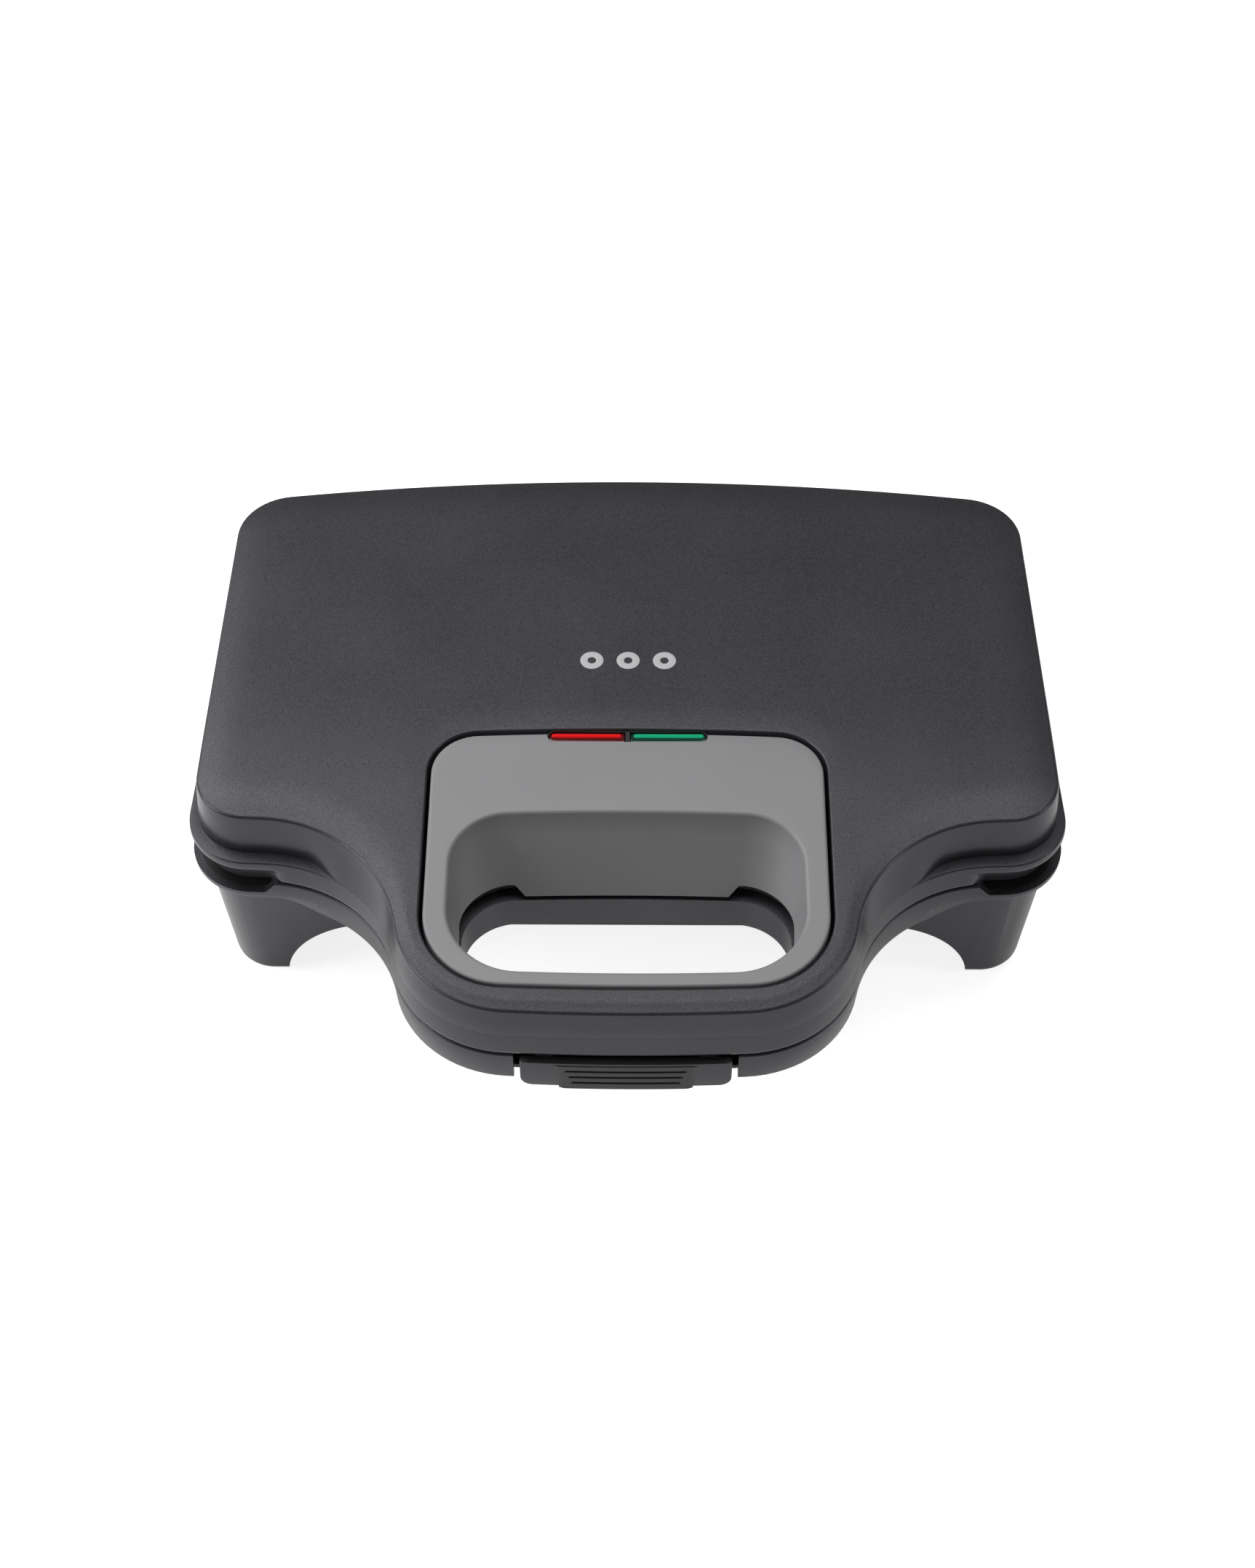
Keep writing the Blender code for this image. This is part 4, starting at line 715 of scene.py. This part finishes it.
def baseShell():
    look = baseLook
    rimZ, flangeZ, wall = shape["rimZ"], shape["flangeZ"], look["wall"]
    lean = (flangeZ - look["legBottomZ"]) * shape["draft"]
    handleZ = shape["handleZ"]
    rings = [lift(planOutline(lipForm, -0.3 + 0.7 * sin(a)), rimZ - 0.7 * (1 - cos(a))) for a in cornerSteps(3)]
    rings += [lift(planOutline(lipForm, 0.3), flangeZ + 0.6)]
    for a in cornerSteps(3)[1:]:
        under = planOutline(lipForm, 0.3 - 0.6 * (1 - cos(a)))
        rings.append(lift(mingle(planOutline(lipForm, 0.28), under, 88, 104), flangeZ + 0.6 * (1 - sin(a))))
    rings += [lift(beltOutline(0.2, 0.26), flangeZ - 0.3), lift(beltOutline(-0.1, 0.1), handleZ + 1.0)]
    rings += [lift(beltOutline(-0.1 - 1.0 * (1 - cos(a)), 0.1 - 1.0 * (1 - cos(a))), handleZ + 1.0 * (1 - sin(a)))
              for a in cornerSteps(3)[1:]]
    shell = loftLoops("baseShell", rings, charcoalPaint)

    def legGrow(z):
        return -(flangeZ - z) * shape["draft"]

    r, low = look["legR"], look["legBottomZ"]
    levels = [(flangeZ - 1.0, legGrow(flangeZ - 1.0) + 0.05), (low + r, legGrow(low + r))]
    levels += [(low + r * (1 - sin(a)), legGrow(low + r) - r * (1 - cos(a))) for a in cornerSteps(5)[1:]]
    body = loftLoops("bodyBlock", [lift(bodyLoop(g), z) for z, g in levels])

    sideHalf = bodyForm["earHalf"] - lean - look["legWidth"]
    yFront, yRear = bodyForm["earFront"] + lean + look["legDepth"], bodyForm["rear"] - lean - look["legDepth"]
    yMid, yHalf = (yFront + yRear) / 2, (yRear - yFront) / 2
    belly, archR = look["bellyZ"], look["archR"]
    hollow = loftLoops("bodyHollow", [lift(bodyLoop(-wall), rimZ - wall),
                                      lift(bodyLoop(-wall - lean), low + wall)])
    carve(hollow, ("DIFFERENCE", tunnel("archInA", sideHalf + wall, belly + wall, archR, "y")),
          ("DIFFERENCE", tunnel("archInB", yHalf + wall, belly + wall, archR, "x", yMid)))
    for name, sign in (("Left", -1), ("Right", 1)):
        x0, x1 = sorted((sign * (look["ventX"] - 4.3), sign * 140))
        deck = boxBetween("ventDeck" + name, x0, x1, -80, look["ventRear"] + wall,
                          rimZ - look["ventDrop"] - wall, 90)
        carve(hollow, ("DIFFERENCE", deck))
    handle = loftLoops("handleHollow", [lift(planOutline(bodyForm, -wall), z) for z in (0, rimZ - wall)])
    room, catch = look["pocketHalf"], look["catchHalf"]
    roomWall, rear = room + wall, look["pocketRear"]
    carve(handle, ("DIFFERENCE", boxBetween("handleEnd", -200, 200, bodyForm["earFront"] - wall, 200, -5, 90)),
          ("DIFFERENCE", boxBetween("pocketWall", -roomWall, roomWall, -200, rear + wall, -5, 90)),
          ("DIFFERENCE", loftLoops("gripCollar", [lift(panelOutline(holeForm, wall), z) for z in (-5, 100)])))
    glandBore = [(0.001, 15), (5.8, 15), (5.8, -15), (0.001, -15)]
    cuts = [tunnel("archA", sideHalf, belly, archR, "y"), tunnel("archB", yHalf, belly, archR, "x", yMid),
            hollow, handle,
            loftLoops("gripHole", [lift(panelOutline(holeForm), z) for z in (-5, 100)]),
            loftLoops("plateHole", [lift(panelOutline(plateForm, 0.3), z) for z in (rimZ - 10, 100)]),
            boxBetween("latchRoom", -room, room, -200, rear, look["shelfZ"], 100),
            boxBetween("latchMouth", -room, room, -200, look["shelfY"], -5, look["shelfZ"] + 1),
            boxBetween("catchSlot", -catch, catch, -200, rear + wall + 1, *look["catchZ"]),
            loftLoops("bellyHole", [lift(panelOutline(coverForm), z) for z in (-5, belly + wall + 1)]),
            spin("glandHole", glandBore, (30, 100, 39), None, "y")]

    def band(inner):
        return planOutline(lipForm, -2.1 if not inner else -2.1 - look["pocketWidth"])

    for name, sign in (("Left", -1), ("Right", 1)):
        pocket = ventRing("pocket" + name, band, look["pocketFloorZ"], 90)
        cuts.append(carve(pocket, ("INTERSECT", ventZone("pocketZone" + name, sign, 0, 95))))
        plateEdge = panelOutline(plateForm, look["collar"])
        collar = loftLoops("plateCollar" + name, [lift(plateEdge, z) for z in (0, 100)])
        rim = ventZone("rimZone" + name, sign, rimZ - look["ventDrop"], rimZ + 5, 2.4)
        cuts.append(carve(rim, ("DIFFERENCE", collar)))
        for yLeg in (yFront - look["legDepth"] / 2, yRear + look["legDepth"] / 2):
            cuts.append(spin(f"footHole{name}{yLeg:.0f}", [(0.001, 7), (2.7, 7), (2.7, -7), (0.001, -7)],
                             (sign * (sideHalf + look["legWidth"] / 2), yLeg, low)))
    return carve(shell, ("UNION", body), *[("DIFFERENCE", c) for c in cuts]), \
        (sideHalf + look["legWidth"] / 2, yFront - look["legDepth"] / 2, yRear + look["legDepth"] / 2)


coverForm = dict(half=92, front=-30, rear=82, frontR=8, rearR=8, bow=4000)
shell, (footX, footFront, footRear) = baseShell()
fit(shell, "base", charcoalPaint, "charcoal_paint", "base_housing")
print("base shell has", len(shell.data.polygons), "faces")
for side, sign in (("Left", -1), ("Right", 1)):
    root = wallAt(lipForm, hinge["x"]) - 0.6
    for where, shift in (("Outer", 1), ("Inner", -1)):
        y, z = hinge["y"], hinge["z"]
        x = sign * hinge["x"] + shift * (hinge["knuckle"] / 2 + hinge["gap"] + hinge["lug"] / 2)
        web = [(y + 2.8, z - 1.7), (y - 2.0, 48.5), (root, 48.5), (root, 54.1), (y - 1.0, 54.1)]
        fit(hingeLeaf(f"baseLug{side}{where}", x, hinge["lug"], web), "base", charcoalPaint, "charcoal_paint")
    length = hinge["knuckle"] + 2 * hinge["lug"] - 0.2
    r = hinge["pinR"]
    profile = [(0.001, length / 2), (r - 0.3, length / 2), (r, length / 2 - 0.3), (r, -length / 2 + 0.3),
               (r - 0.3, -length / 2), (0.001, -length / 2)]
    fit(spin("hingePin" + side, profile, (sign * hinge["x"], hinge["y"], hinge["z"]), steel, "x"), "base", steel,
        "steel", "hinge_pin_" + side.lower())
print("base shell and hinge pins built")


# black sheets of painted shade, where there is only shade: behind the latch, and a trough in each steam vent
ventShadeLook = dict(outer=-2.15, width=5.2, wall=0.5, floor=0.22, top=54.0, low=49.83)


def paintedShadeBehindLatch():
    # painted shade: a black sheet on the shelf and the wall behind the latch, standing in for the shade there,
    # with a slot for the catch
    half, y, z = baseLook["pocketHalf"] - 0.3, baseLook["pocketRear"], baseLook["shelfZ"]
    front, top, low = baseLook["shelfY"] - 0.3, shape["rimZ"] - 0.1, 43.2
    outline = [(front, low), (front + 0.25, low), (front + 0.25, z + 0.05), (y - 0.05, z + 0.05),
               (y - 0.05, top), (y - 0.35, top), (y - 0.35, z + 0.35), (front, z + 0.35)]
    catch = baseLook["catchHalf"]
    slot = boxBetween("paintedShadeSlot", -catch, catch, y - 2, y + 2, *baseLook["catchZ"])
    return softEdges(carve(sideways("paintedShadeBehindLatch", outline, -half, half), ("DIFFERENCE", slot)), 0.08)


# the black sheet is painted shade behind the latch
fit(paintedShadeBehindLatch(), "base", blackPlastic, "black_plastic")


def ventShadeTrough(name, sign):
    # painted shade: a black trough in the steam vent, standing in for the shade inside it; its section runs over
    # the outer wall, the floor and the taller inner wall
    look = ventShadeLook
    outer, inner = planOutline(lipForm, look["outer"]), planOutline(lipForm, look["outer"] - look["width"])
    inZone = (np.abs(outer[:, 0]) > baseLook["ventX"] - 1.0) & (outer[:, 1] < baseLook["ventRear"] + 1.0)
    keep = inZone & (np.sign(outer[:, 0]) == sign)
    bm = bmesh.new()
    columns = []
    for p, q in zip(outer[keep], inner[keep]):
        d = (q - p) / np.linalg.norm(q - p)
        a, b = p + d * look["wall"], q - d * look["wall"]
        z0, z1, top = look["low"], look["low"] + look["floor"], look["top"]
        high = shape["rimZ"] - baseLook["ventDrop"] - 0.02
        points = [(*p, z0), (*p, high), (*a, high), (*a, z1), (*b, z1), (*b, top), (*q, top), (*q, z0)]
        columns.append([bm.verts.new(Vector(v) * mm) for v in points])
    for a, b in zip(columns, columns[1:]):
        for i in range(8):
            bm.faces.new((a[i], a[(i + 1) % 8], b[(i + 1) % 8], b[i]))
    bm.faces.new(columns[0])
    bm.faces.new(columns[-1])
    return makeObject(name, bm, blackPlastic)


# black troughs of painted shade in the two steam vents
fit(ventShadeTrough("ventShadeTroughLeft", -1), "base", blackPlastic, "black_plastic")
fit(ventShadeTrough("ventShadeTroughRight", 1), "base", blackPlastic, "black_plastic")

# feet, bottom cover, screws and the cord's bushing
footLook = dict(r=5.2, pegR=2.4, pegTop=5.2, top=0.9)
coverLook = dict(z=31.0, thick=1.8, ribs=7, screwX=83, screwY=(-21, 73))


def rubberFoot(name, x, y):
    r, pegR, pegTop, top = footLook["r"], footLook["pegR"], footLook["pegTop"], footLook["top"]
    profile = [(0.001, pegTop), (pegR, pegTop), (pegR, top), (r - 0.2, top), (r, top - 0.2), (r - 0.15, 0.35),
               (r - 0.5, 0), (r - 1.4, 0), (r - 1.6, 0.3), (r - 2.1, 0.3), (r - 2.3, 0), (0.001, 0)]
    return spin(name, profile, (x, y, 0), footRubber)


def bottomCover():
    # a tray floor with raised ribs and a sunken panel in its middle
    z, thick = coverLook["z"], coverLook["thick"]
    cover = slab("bottomCover", lambda g: panelOutline(coverForm, 5 + g), z, z + thick, blackPlastic, 0, 0)
    steps = []
    for i in range(coverLook["ribs"]):
        y = -16 + 7 * i
        heights = ((0.5, 0), (-0.5, 0), (-0.8, 0.35))
        rib = loftLoops(f"coverRib{i}", [lift(pillLoop(-58, -18, y, 1.2 - s), z + h) for h, s in heights])
        steps.append(("UNION", rib))
    plate = dict(half=26, front=-18, rear=26, frontR=3, rearR=3, bow=9000)
    sunk = loftLoops("coverPanel", [lift(panelOutline(plate) + [36, 0], h) for h in (z - 3, z + 0.4)])
    steps.append(("DIFFERENCE", sunk))
    bore = [(0.001, 9), (1.7, 9), (1.7, -9), (0.001, -9)]
    for x in (-coverLook["screwX"], coverLook["screwX"]):
        for y in coverLook["screwY"]:
            steps.append(("DIFFERENCE", spin(f"screwHole{x}{y}", bore, (x, y, z))))
    return carve(cover, *steps)


def crossScrew(name, x, y, z):
    profile = [(0.001, 2.1), (0.8, 2.1), (1.35, 1.6), (1.35, 0), (2.8, 0), (2.8, -0.4), (2.5, -1.0), (1.8, -1.4),
               (0.001, -1.5)]
    screw = spin(name, profile, (x, y, z), steel)
    steps = []
    for k, turn in enumerate((0.3, 0.3 + pi / 2)):
        slot = boxBetween(f"{name}Slot{k}", -1.5, 1.5, -0.3, 0.3, -2.0, -0.6)
        slot.data.transform(Matrix.Translation(Vector((x, y, z)) * mm) @ Matrix.Rotation(turn, 4, "Z"))
        steps.append(("DIFFERENCE", slot))
    return carve(screw, *steps)


fit(bottomCover(), "base", blackPlastic, "black_plastic", "bottom_cover")
for end, footY, screwY in zip(("Front", "Rear"), (footFront, footRear), coverLook["screwY"]):
    for side, sign in (("Left", -1), ("Right", 1)):
        tag = f"{end.lower()}_{side.lower()}"
        fit(rubberFoot(f"foot{end}{side}", sign * footX, footY), "base", footRubber, "foot_rubber", "foot_" + tag)
        screw = crossScrew(f"coverScrew{end}{side}", sign * coverLook["screwX"], screwY, coverLook["z"] - 0.3)
        fit(screw, "base", steel, "steel", "cover_screw_" + tag)

glandLook = dict(x=30, z=39, r=5.5)
glandY = wallAt(bodyForm, glandLook["x"]) - 0.1
r, collar = glandLook["r"], glandLook["r"] + 1.8
profile = [(3.2, 6.0), (3.6, 6.3), (r - 0.9, 6.3), (r - 0.6, 6.0), (r - 0.3, 4.6), (r - 0.9, 4.4),
           (r - 0.8, 3.9), (r + 0.3, 3.7), (r + 0.6, 2.4), (collar, 1.6), (collar, 0.6), (r, 0.6),
           (r, -4.3), (collar, -4.3), (collar, -5.3), (3.2, -5.3)]
fit(spin("cordBushing", profile, (glandLook["x"], glandY, glandLook["z"]), footRubber, "y"), "base", footRubber,
    "foot_rubber", "cord_gland")
print("base fittings built")


# cooking plates
plateLook = dict(thick=3.0, gap=0.6, ringR=19.0, tubeR=9.0, pitchX=72.0, pitchY=58.0, cupWall=2.6, midY=25.5,
                 cupX=(-1, 0, 1))
faceUp = shape["lidBottomZ"] - 0.5 + plateLook["gap"] / 2
faceLow = faceUp - plateLook["gap"]


def cookingPlate(name, faceZ, up):
    # up is 1 when the cooking face looks up, and -1 in the lid
    look = plateLook
    depth = look["tubeR"] + look["cupWall"]
    back = faceZ - up * look["thick"]
    plate = slab(name, lambda g: panelOutline(plateForm, g), min(faceZ, back), max(faceZ, back), nonstick,
                 0.6 if up > 0 else 0.3, 0.3 if up > 0 else 0.6)
    joins, cutsMade = [], []
    for i in look["cupX"]:
        for j in (-0.5, 0.5):
            x, y = i * look["pitchX"], look["midY"] + j * look["pitchY"]
            wide, narrow = look["ringR"] + look["tubeR"] + look["cupWall"] - 1, look["ringR"] + look["tubeR"] - 2
            cup = [(0.001, -1.0), (wide, -1.0), (narrow + 1.2, -depth + 1.2), (narrow, -depth), (0.001, -depth)]
            cup = [(a, faceZ + up * h) for a, h in cup]
            joins.append(("UNION", spin(f"cup{i}{j}", cup, (x, y, 0), None, "z", 64)))
            tube = [(look["ringR"] + look["tubeR"] * cos(a), up * look["tubeR"] * sin(a))
                    for a in np.linspace(0.12, 0.12 - 2 * pi, 33)[:-1]]
            cutsMade.append(("DIFFERENCE", spin(f"mould{i}{j}", tube, (x, y, faceZ), None, "z", 64)))
    for sign in (-1, 1):
        x, y = sign * look["pitchX"] / 2, look["midY"]
        boss = [(a, faceZ + up * h) for a, h in ((0.001, -1.0), (4, -1.0), (4, -depth), (0.001, -depth))]
        joins.append(("UNION", spin(f"boss{sign}", boss, (x, y, 0), None, "z", 24)))
        bore = [(0.001, 6), (1.8, 6), (1.8, -6), (0.001, -6)]
        bore = spin(f"bossBore{sign}", bore, (x, y, faceZ - up * depth), None, "z", 24)
        cutsMade.append(("DIFFERENCE", bore))
    carve(plate, *joins, *cutsMade, sharp=50)
    return softEdges(plate, 0.45, 2, 42)


fit(cookingPlate("lowerPlate", faceLow, 1), "base", nonstick, "nonstick_coating", "lower_cooking_plate")
fit(cookingPlate("upperPlate", faceUp, -1), "lid", nonstick, "nonstick_coating", "upper_cooking_plate")
print("plates built")


# latch
latchLook = dict(half=29.8, topZ=53.5, bottomZ=41.9, front=-109.1, thick=2.3, bow=641, cornerR=3.4, armX=23.0,
                 armW=5.0, pivotY=-102.0, pivotZ=58.0, bossR=2.4)
padLook = dict(topHalf=20.6, lowHalf=18.8, topZ=52.65, lowZ=40.8, proud=0.4, grooves=3,
               grooveHalf=(17.2, 16.2, 15.2), pitch=2.75, firstZ=49.9, grooveH=0.42, grooveDepth=0.8)


def bowBack(x):
    return x ** 2 / (2 * latchLook["bow"])


def latchPlate():
    look = latchLook
    r, half = look["cornerR"], look["half"]
    loop = [tuple(p) for p in arcPoints(half - r, look["bottomZ"] + r, r, -pi / 2, 0, 8)]
    loop += [tuple(p) for p in arcPoints(half - 0.8, look["topZ"] - 0.8, 0.8, 0, pi / 2, 4)]
    loop = loop + [(-x, z) for x, z in reversed(loop)]
    plate = sideways("latchPlate", loop, look["front"], look["front"] + look["thick"], charcoalPaint, "y")
    softEdges(plate, 0.45, 3)
    settle(plate)
    bm = bmesh.new()
    bm.from_mesh(plate.data)
    for x in np.linspace(-27, 27, 19):
        bmesh.ops.bisect_plane(bm, geom=bm.verts[:] + bm.edges[:] + bm.faces[:], plane_co=(x * mm, 0, 0),
                               plane_no=(1, 0, 0), dist=1e-7)
    for v in bm.verts:
        v.co.y += bowBack(v.co.x / mm) * mm
    bm.to_mesh(plate.data)
    bm.free()
    plate.data.set_sharp_from_angle(angle=radians(50))
    return plate


def latchPad():
    # ribbed thumb pad: a fine skin of relief over a plain back
    look = padLook
    y0 = latchLook["front"]
    xs = np.concatenate([np.linspace(-1, -0.82, 8), np.linspace(-0.8, 0.8, 33), np.linspace(0.82, 1, 8)])
    zs = np.linspace(look["lowZ"], look["topZ"], 74)
    bm = bmesh.new()
    rows = []
    for z in zs:
        share = (z - look["lowZ"]) / (look["topZ"] - look["lowZ"])
        half = look["lowHalf"] + (look["topHalf"] - look["lowHalf"]) * share
        row = []
        for u in xs:
            x = u * half
            side = half - abs(x)
            edge = min(side / 1.5, 1.0)
            rise = look["proud"] * edge
            rise -= 0.5 * max(0.0, 1 - (z - look["lowZ"]) / 0.5) + 0.4 * max(0.0, 1 - (look["topZ"] - z) / 0.4)
            for k in range(look["grooves"]):
                middle = look["firstZ"] - look["pitch"] * k
                across = 1 - smooth(abs(z - middle), look["grooveH"] * 0.55, look["grooveH"] * 1.15)
                endways = 1 - smooth(abs(x), look["grooveHalf"][k] - 0.7, look["grooveHalf"][k])
                rise -= look["grooveDepth"] * float(across * endways)
            row.append(bm.verts.new(Vector((x, y0 - rise + bowBack(x), z)) * mm))
        rows.append(row)
    backs = []
    for row in (rows[0], rows[-1]):
        ends = [v.co / mm for v in row]
        backs.append([bm.verts.new(Vector((v.x, y0 + 1.0 + bowBack(v.x), v.z)) * mm) for v in ends])
    for a, b in zip(rows, rows[1:]):
        for i in range(len(xs) - 1):
            bm.faces.new((a[i], a[i + 1], b[i + 1], b[i]))
    for row, back in ((rows[0], backs[0]), (rows[-1], backs[1])):
        for i in range(len(xs) - 1):
            bm.faces.new((row[i], row[i + 1], back[i + 1], back[i]))
    for i in (0, -1):
        bm.faces.new([r[i] for r in rows] + [backs[1][i], backs[0][i]])
    for i in range(len(xs) - 1):
        bm.faces.new((backs[0][i], backs[0][i + 1], backs[1][i + 1], backs[1][i]))
    return makeObject("latchPad", bm, latchBlack, 40)


def latchStrip():
    # the black strip along the top of the latch
    look = latchLook
    rings = []
    for x in np.linspace(-look["half"] + 0.6, look["half"] - 0.6, 25):
        y = look["front"] + bowBack(x)
        inset = 0.35 if abs(x) > look["half"] - 0.7 else 0.0
        front, rear, top = y - 0.35 + inset, y + 1.6, look["topZ"] - inset
        low = look["topZ"] - 0.9 + inset
        rings.append([(x, front, top + 0.1), (x, rear, top + 0.2), (x, rear, low), (x, front + 0.2, low),
                      (x, front, low + 0.2)])
    return softEdges(loftLoops("latchStrip", rings, latchBlack), 0.12)


def latchArm(name, x):
    look = latchLook
    y, z, r, inner = look["pivotY"], look["pivotZ"], look["bossR"], look["front"] + look["thick"] - 0.6
    loop = [(inner, 52.4), (inner, 47.6), (inner + 1.2, 47.4), (y + 1.4, 50.4), (y + r, 52.4), (y + r, z),
            (y - r + 0.2, z), (y - r + 0.2, 54.4)]
    arm = sideways(name, loop, x - look["armW"] / 2, x + look["armW"] / 2, charcoalPaint)
    half = look["armW"] / 2
    boss = spin(name + "Boss", [(0.001, half), (r, half), (r, -half), (0.001, -half)], (x, y, z), None, "x", 32)
    bore = spin(name + "Bore", [(0.001, 9), (1.55, 9), (1.55, -9), (0.001, -9)], (x, y, z), None, "x", 32)
    return softEdges(carve(arm, ("UNION", boss), ("DIFFERENCE", bore)), 0.2)


fit(latchPlate(), "latch", charcoalPaint, "charcoal_paint", "latch_body")
fit(latchPad(), "latch", latchBlack, "latch_black", "latch_grip")
fit(latchStrip(), "latch", latchBlack, "latch_black")
fit(latchArm("latchArmLeft", -latchLook["armX"]), "latch", charcoalPaint, "charcoal_paint")
fit(latchArm("latchArmRight", latchLook["armX"]), "latch", charcoalPaint, "charcoal_paint")
hookLoop = [(-107.4, 44.5), (-103.9, 46.8), (-103.7, 47.2), (-103.7, 48.5), (-107.4, 48.5)]
hook = softEdges(sideways("latchHook", hookLoop, -10, 10, charcoalPaint), 0.25)
fit(hook, "latch", charcoalPaint, "charcoal_paint")
print("latch built")


# finishes on the nodes that stay as they are
finishes = {"black": blackPlastic, "steel": steel, "sheath": sheath, "sheet": sheetMetal, "sleeve": fibreSleeve,
            "glass": neonGlass}
nodeFinish = dict(lid_frame="black", terminal_block="black", latch_pin="steel", latch_catch="steel",
                  thermostat="steel", thermal_fuse="sleeve", red_neon_lamp="glass", green_neon_lamp="glass")
for part in ("lower", "upper"):
    nodeFinish[f"{part}_heating_element"] = "sheath"
    nodeFinish[f"{part}_reflector"] = "sheet"
    for side in ("left", "right"):
        nodeFinish[f"{part}_element_bar_{side}"] = "steel"
        nodeFinish[f"{part}_bar_screw_{side}"] = "steel"
for node, finish in nodeFinish.items():
    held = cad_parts[node]
    held.data.materials.clear()
    held.data.materials.append(finishes[finish])


# floor, lights and camera
studio = dict(floor=3.0, floorZ=-0.15, world=0.10, backdrop=0.86, glow=0.82, bounce=0.28, overhead=7, left=5,
              right=1.5, key=3.0)
bm = bmesh.new()
bmesh.ops.create_grid(bm, x_segments=8, y_segments=8, size=studio["floor"])
floor = makeObject("studioFloor", bm)
floor.location.z = studio["floorZ"] * mm


def floorBuild(wires, place):
    clouds = noise(wires, place, 400, 2.0)
    seen = wires.add("LightPath")
    return {"Base Color": clouds.blend((0.86, 0.86, 0.86), (0.90, 0.90, 0.90)), "Roughness": 0.7 + clouds * 0.1,
            "Emission Color": seen.blend((studio["bounce"],) * 3, (studio["glow"],) * 3)}


floor.data.materials.append(newMaterial("studioFloor", {"Emission Strength": 1.0}, floorBuild))


def areaLight(name, place, target, size, power):
    lamp = bpy.data.lights.new(name, "AREA")
    lamp.shape = "RECTANGLE"
    lamp.size, lamp.size_y = size
    lamp.energy = power
    made = bpy.data.objects.new(name, lamp)
    made.location = place
    made.rotation_euler = (Vector(target) - Vector(place)).to_track_quat("-Z", "Y").to_euler()
    bpy.context.scene.collection.objects.link(made)


areaLight("overheadLight", (0, 0.22, 1.15), (0, 0, 0.05), (1.3, 0.65), studio["overhead"])
areaLight("keyLight", (-0.55, 0.30, 0.62), (0, 0, 0.07), (0.45, 0.45), studio["key"])
areaLight("leftLight", (-1.1, -0.3, 0.5), (0, 0, 0.05), (0.6, 0.6), studio["left"])
areaLight("rightLight", (1.1, -0.3, 0.5), (0, 0, 0.05), (0.2, 0.7), studio["right"])
world = bpy.data.worlds.new("studioWorld")
world.use_nodes = True
sky = Wire(world.node_tree)
seen = sky.add("LightPath")
backdrop = world.node_tree.nodes["Background"]
backdrop.inputs["Color"].default_value = (1, 1, 1, 1)
sky.feed(backdrop.inputs["Strength"], seen * (studio["backdrop"] - studio["world"]) + studio["world"])
bpy.context.scene.world = world
bpy.context.scene.view_settings.view_transform = "Standard"

camera = dict(target=(0, -18.5, 67.2), elevation=50.0, turn=0.3, distance=758.4, lens=58.44)
up, turn = radians(camera["elevation"]), radians(camera["turn"])
back = Vector((sin(turn) * cos(up), -cos(turn) * cos(up), sin(up)))
lensData = bpy.data.cameras.new("studioCamera")
lensData.sensor_width = 36
lensData.lens = camera["lens"]
lensData.clip_start = 0.01
eye = bpy.data.objects.new("studioCamera", lensData)
eye.location = (Vector(camera["target"]) + back * camera["distance"]) * mm
eye.rotation_euler = (-back).to_track_quat("-Z", "Y").to_euler()
bpy.context.scene.collection.objects.link(eye)
bpy.context.scene.camera = eye

print("studio ready")
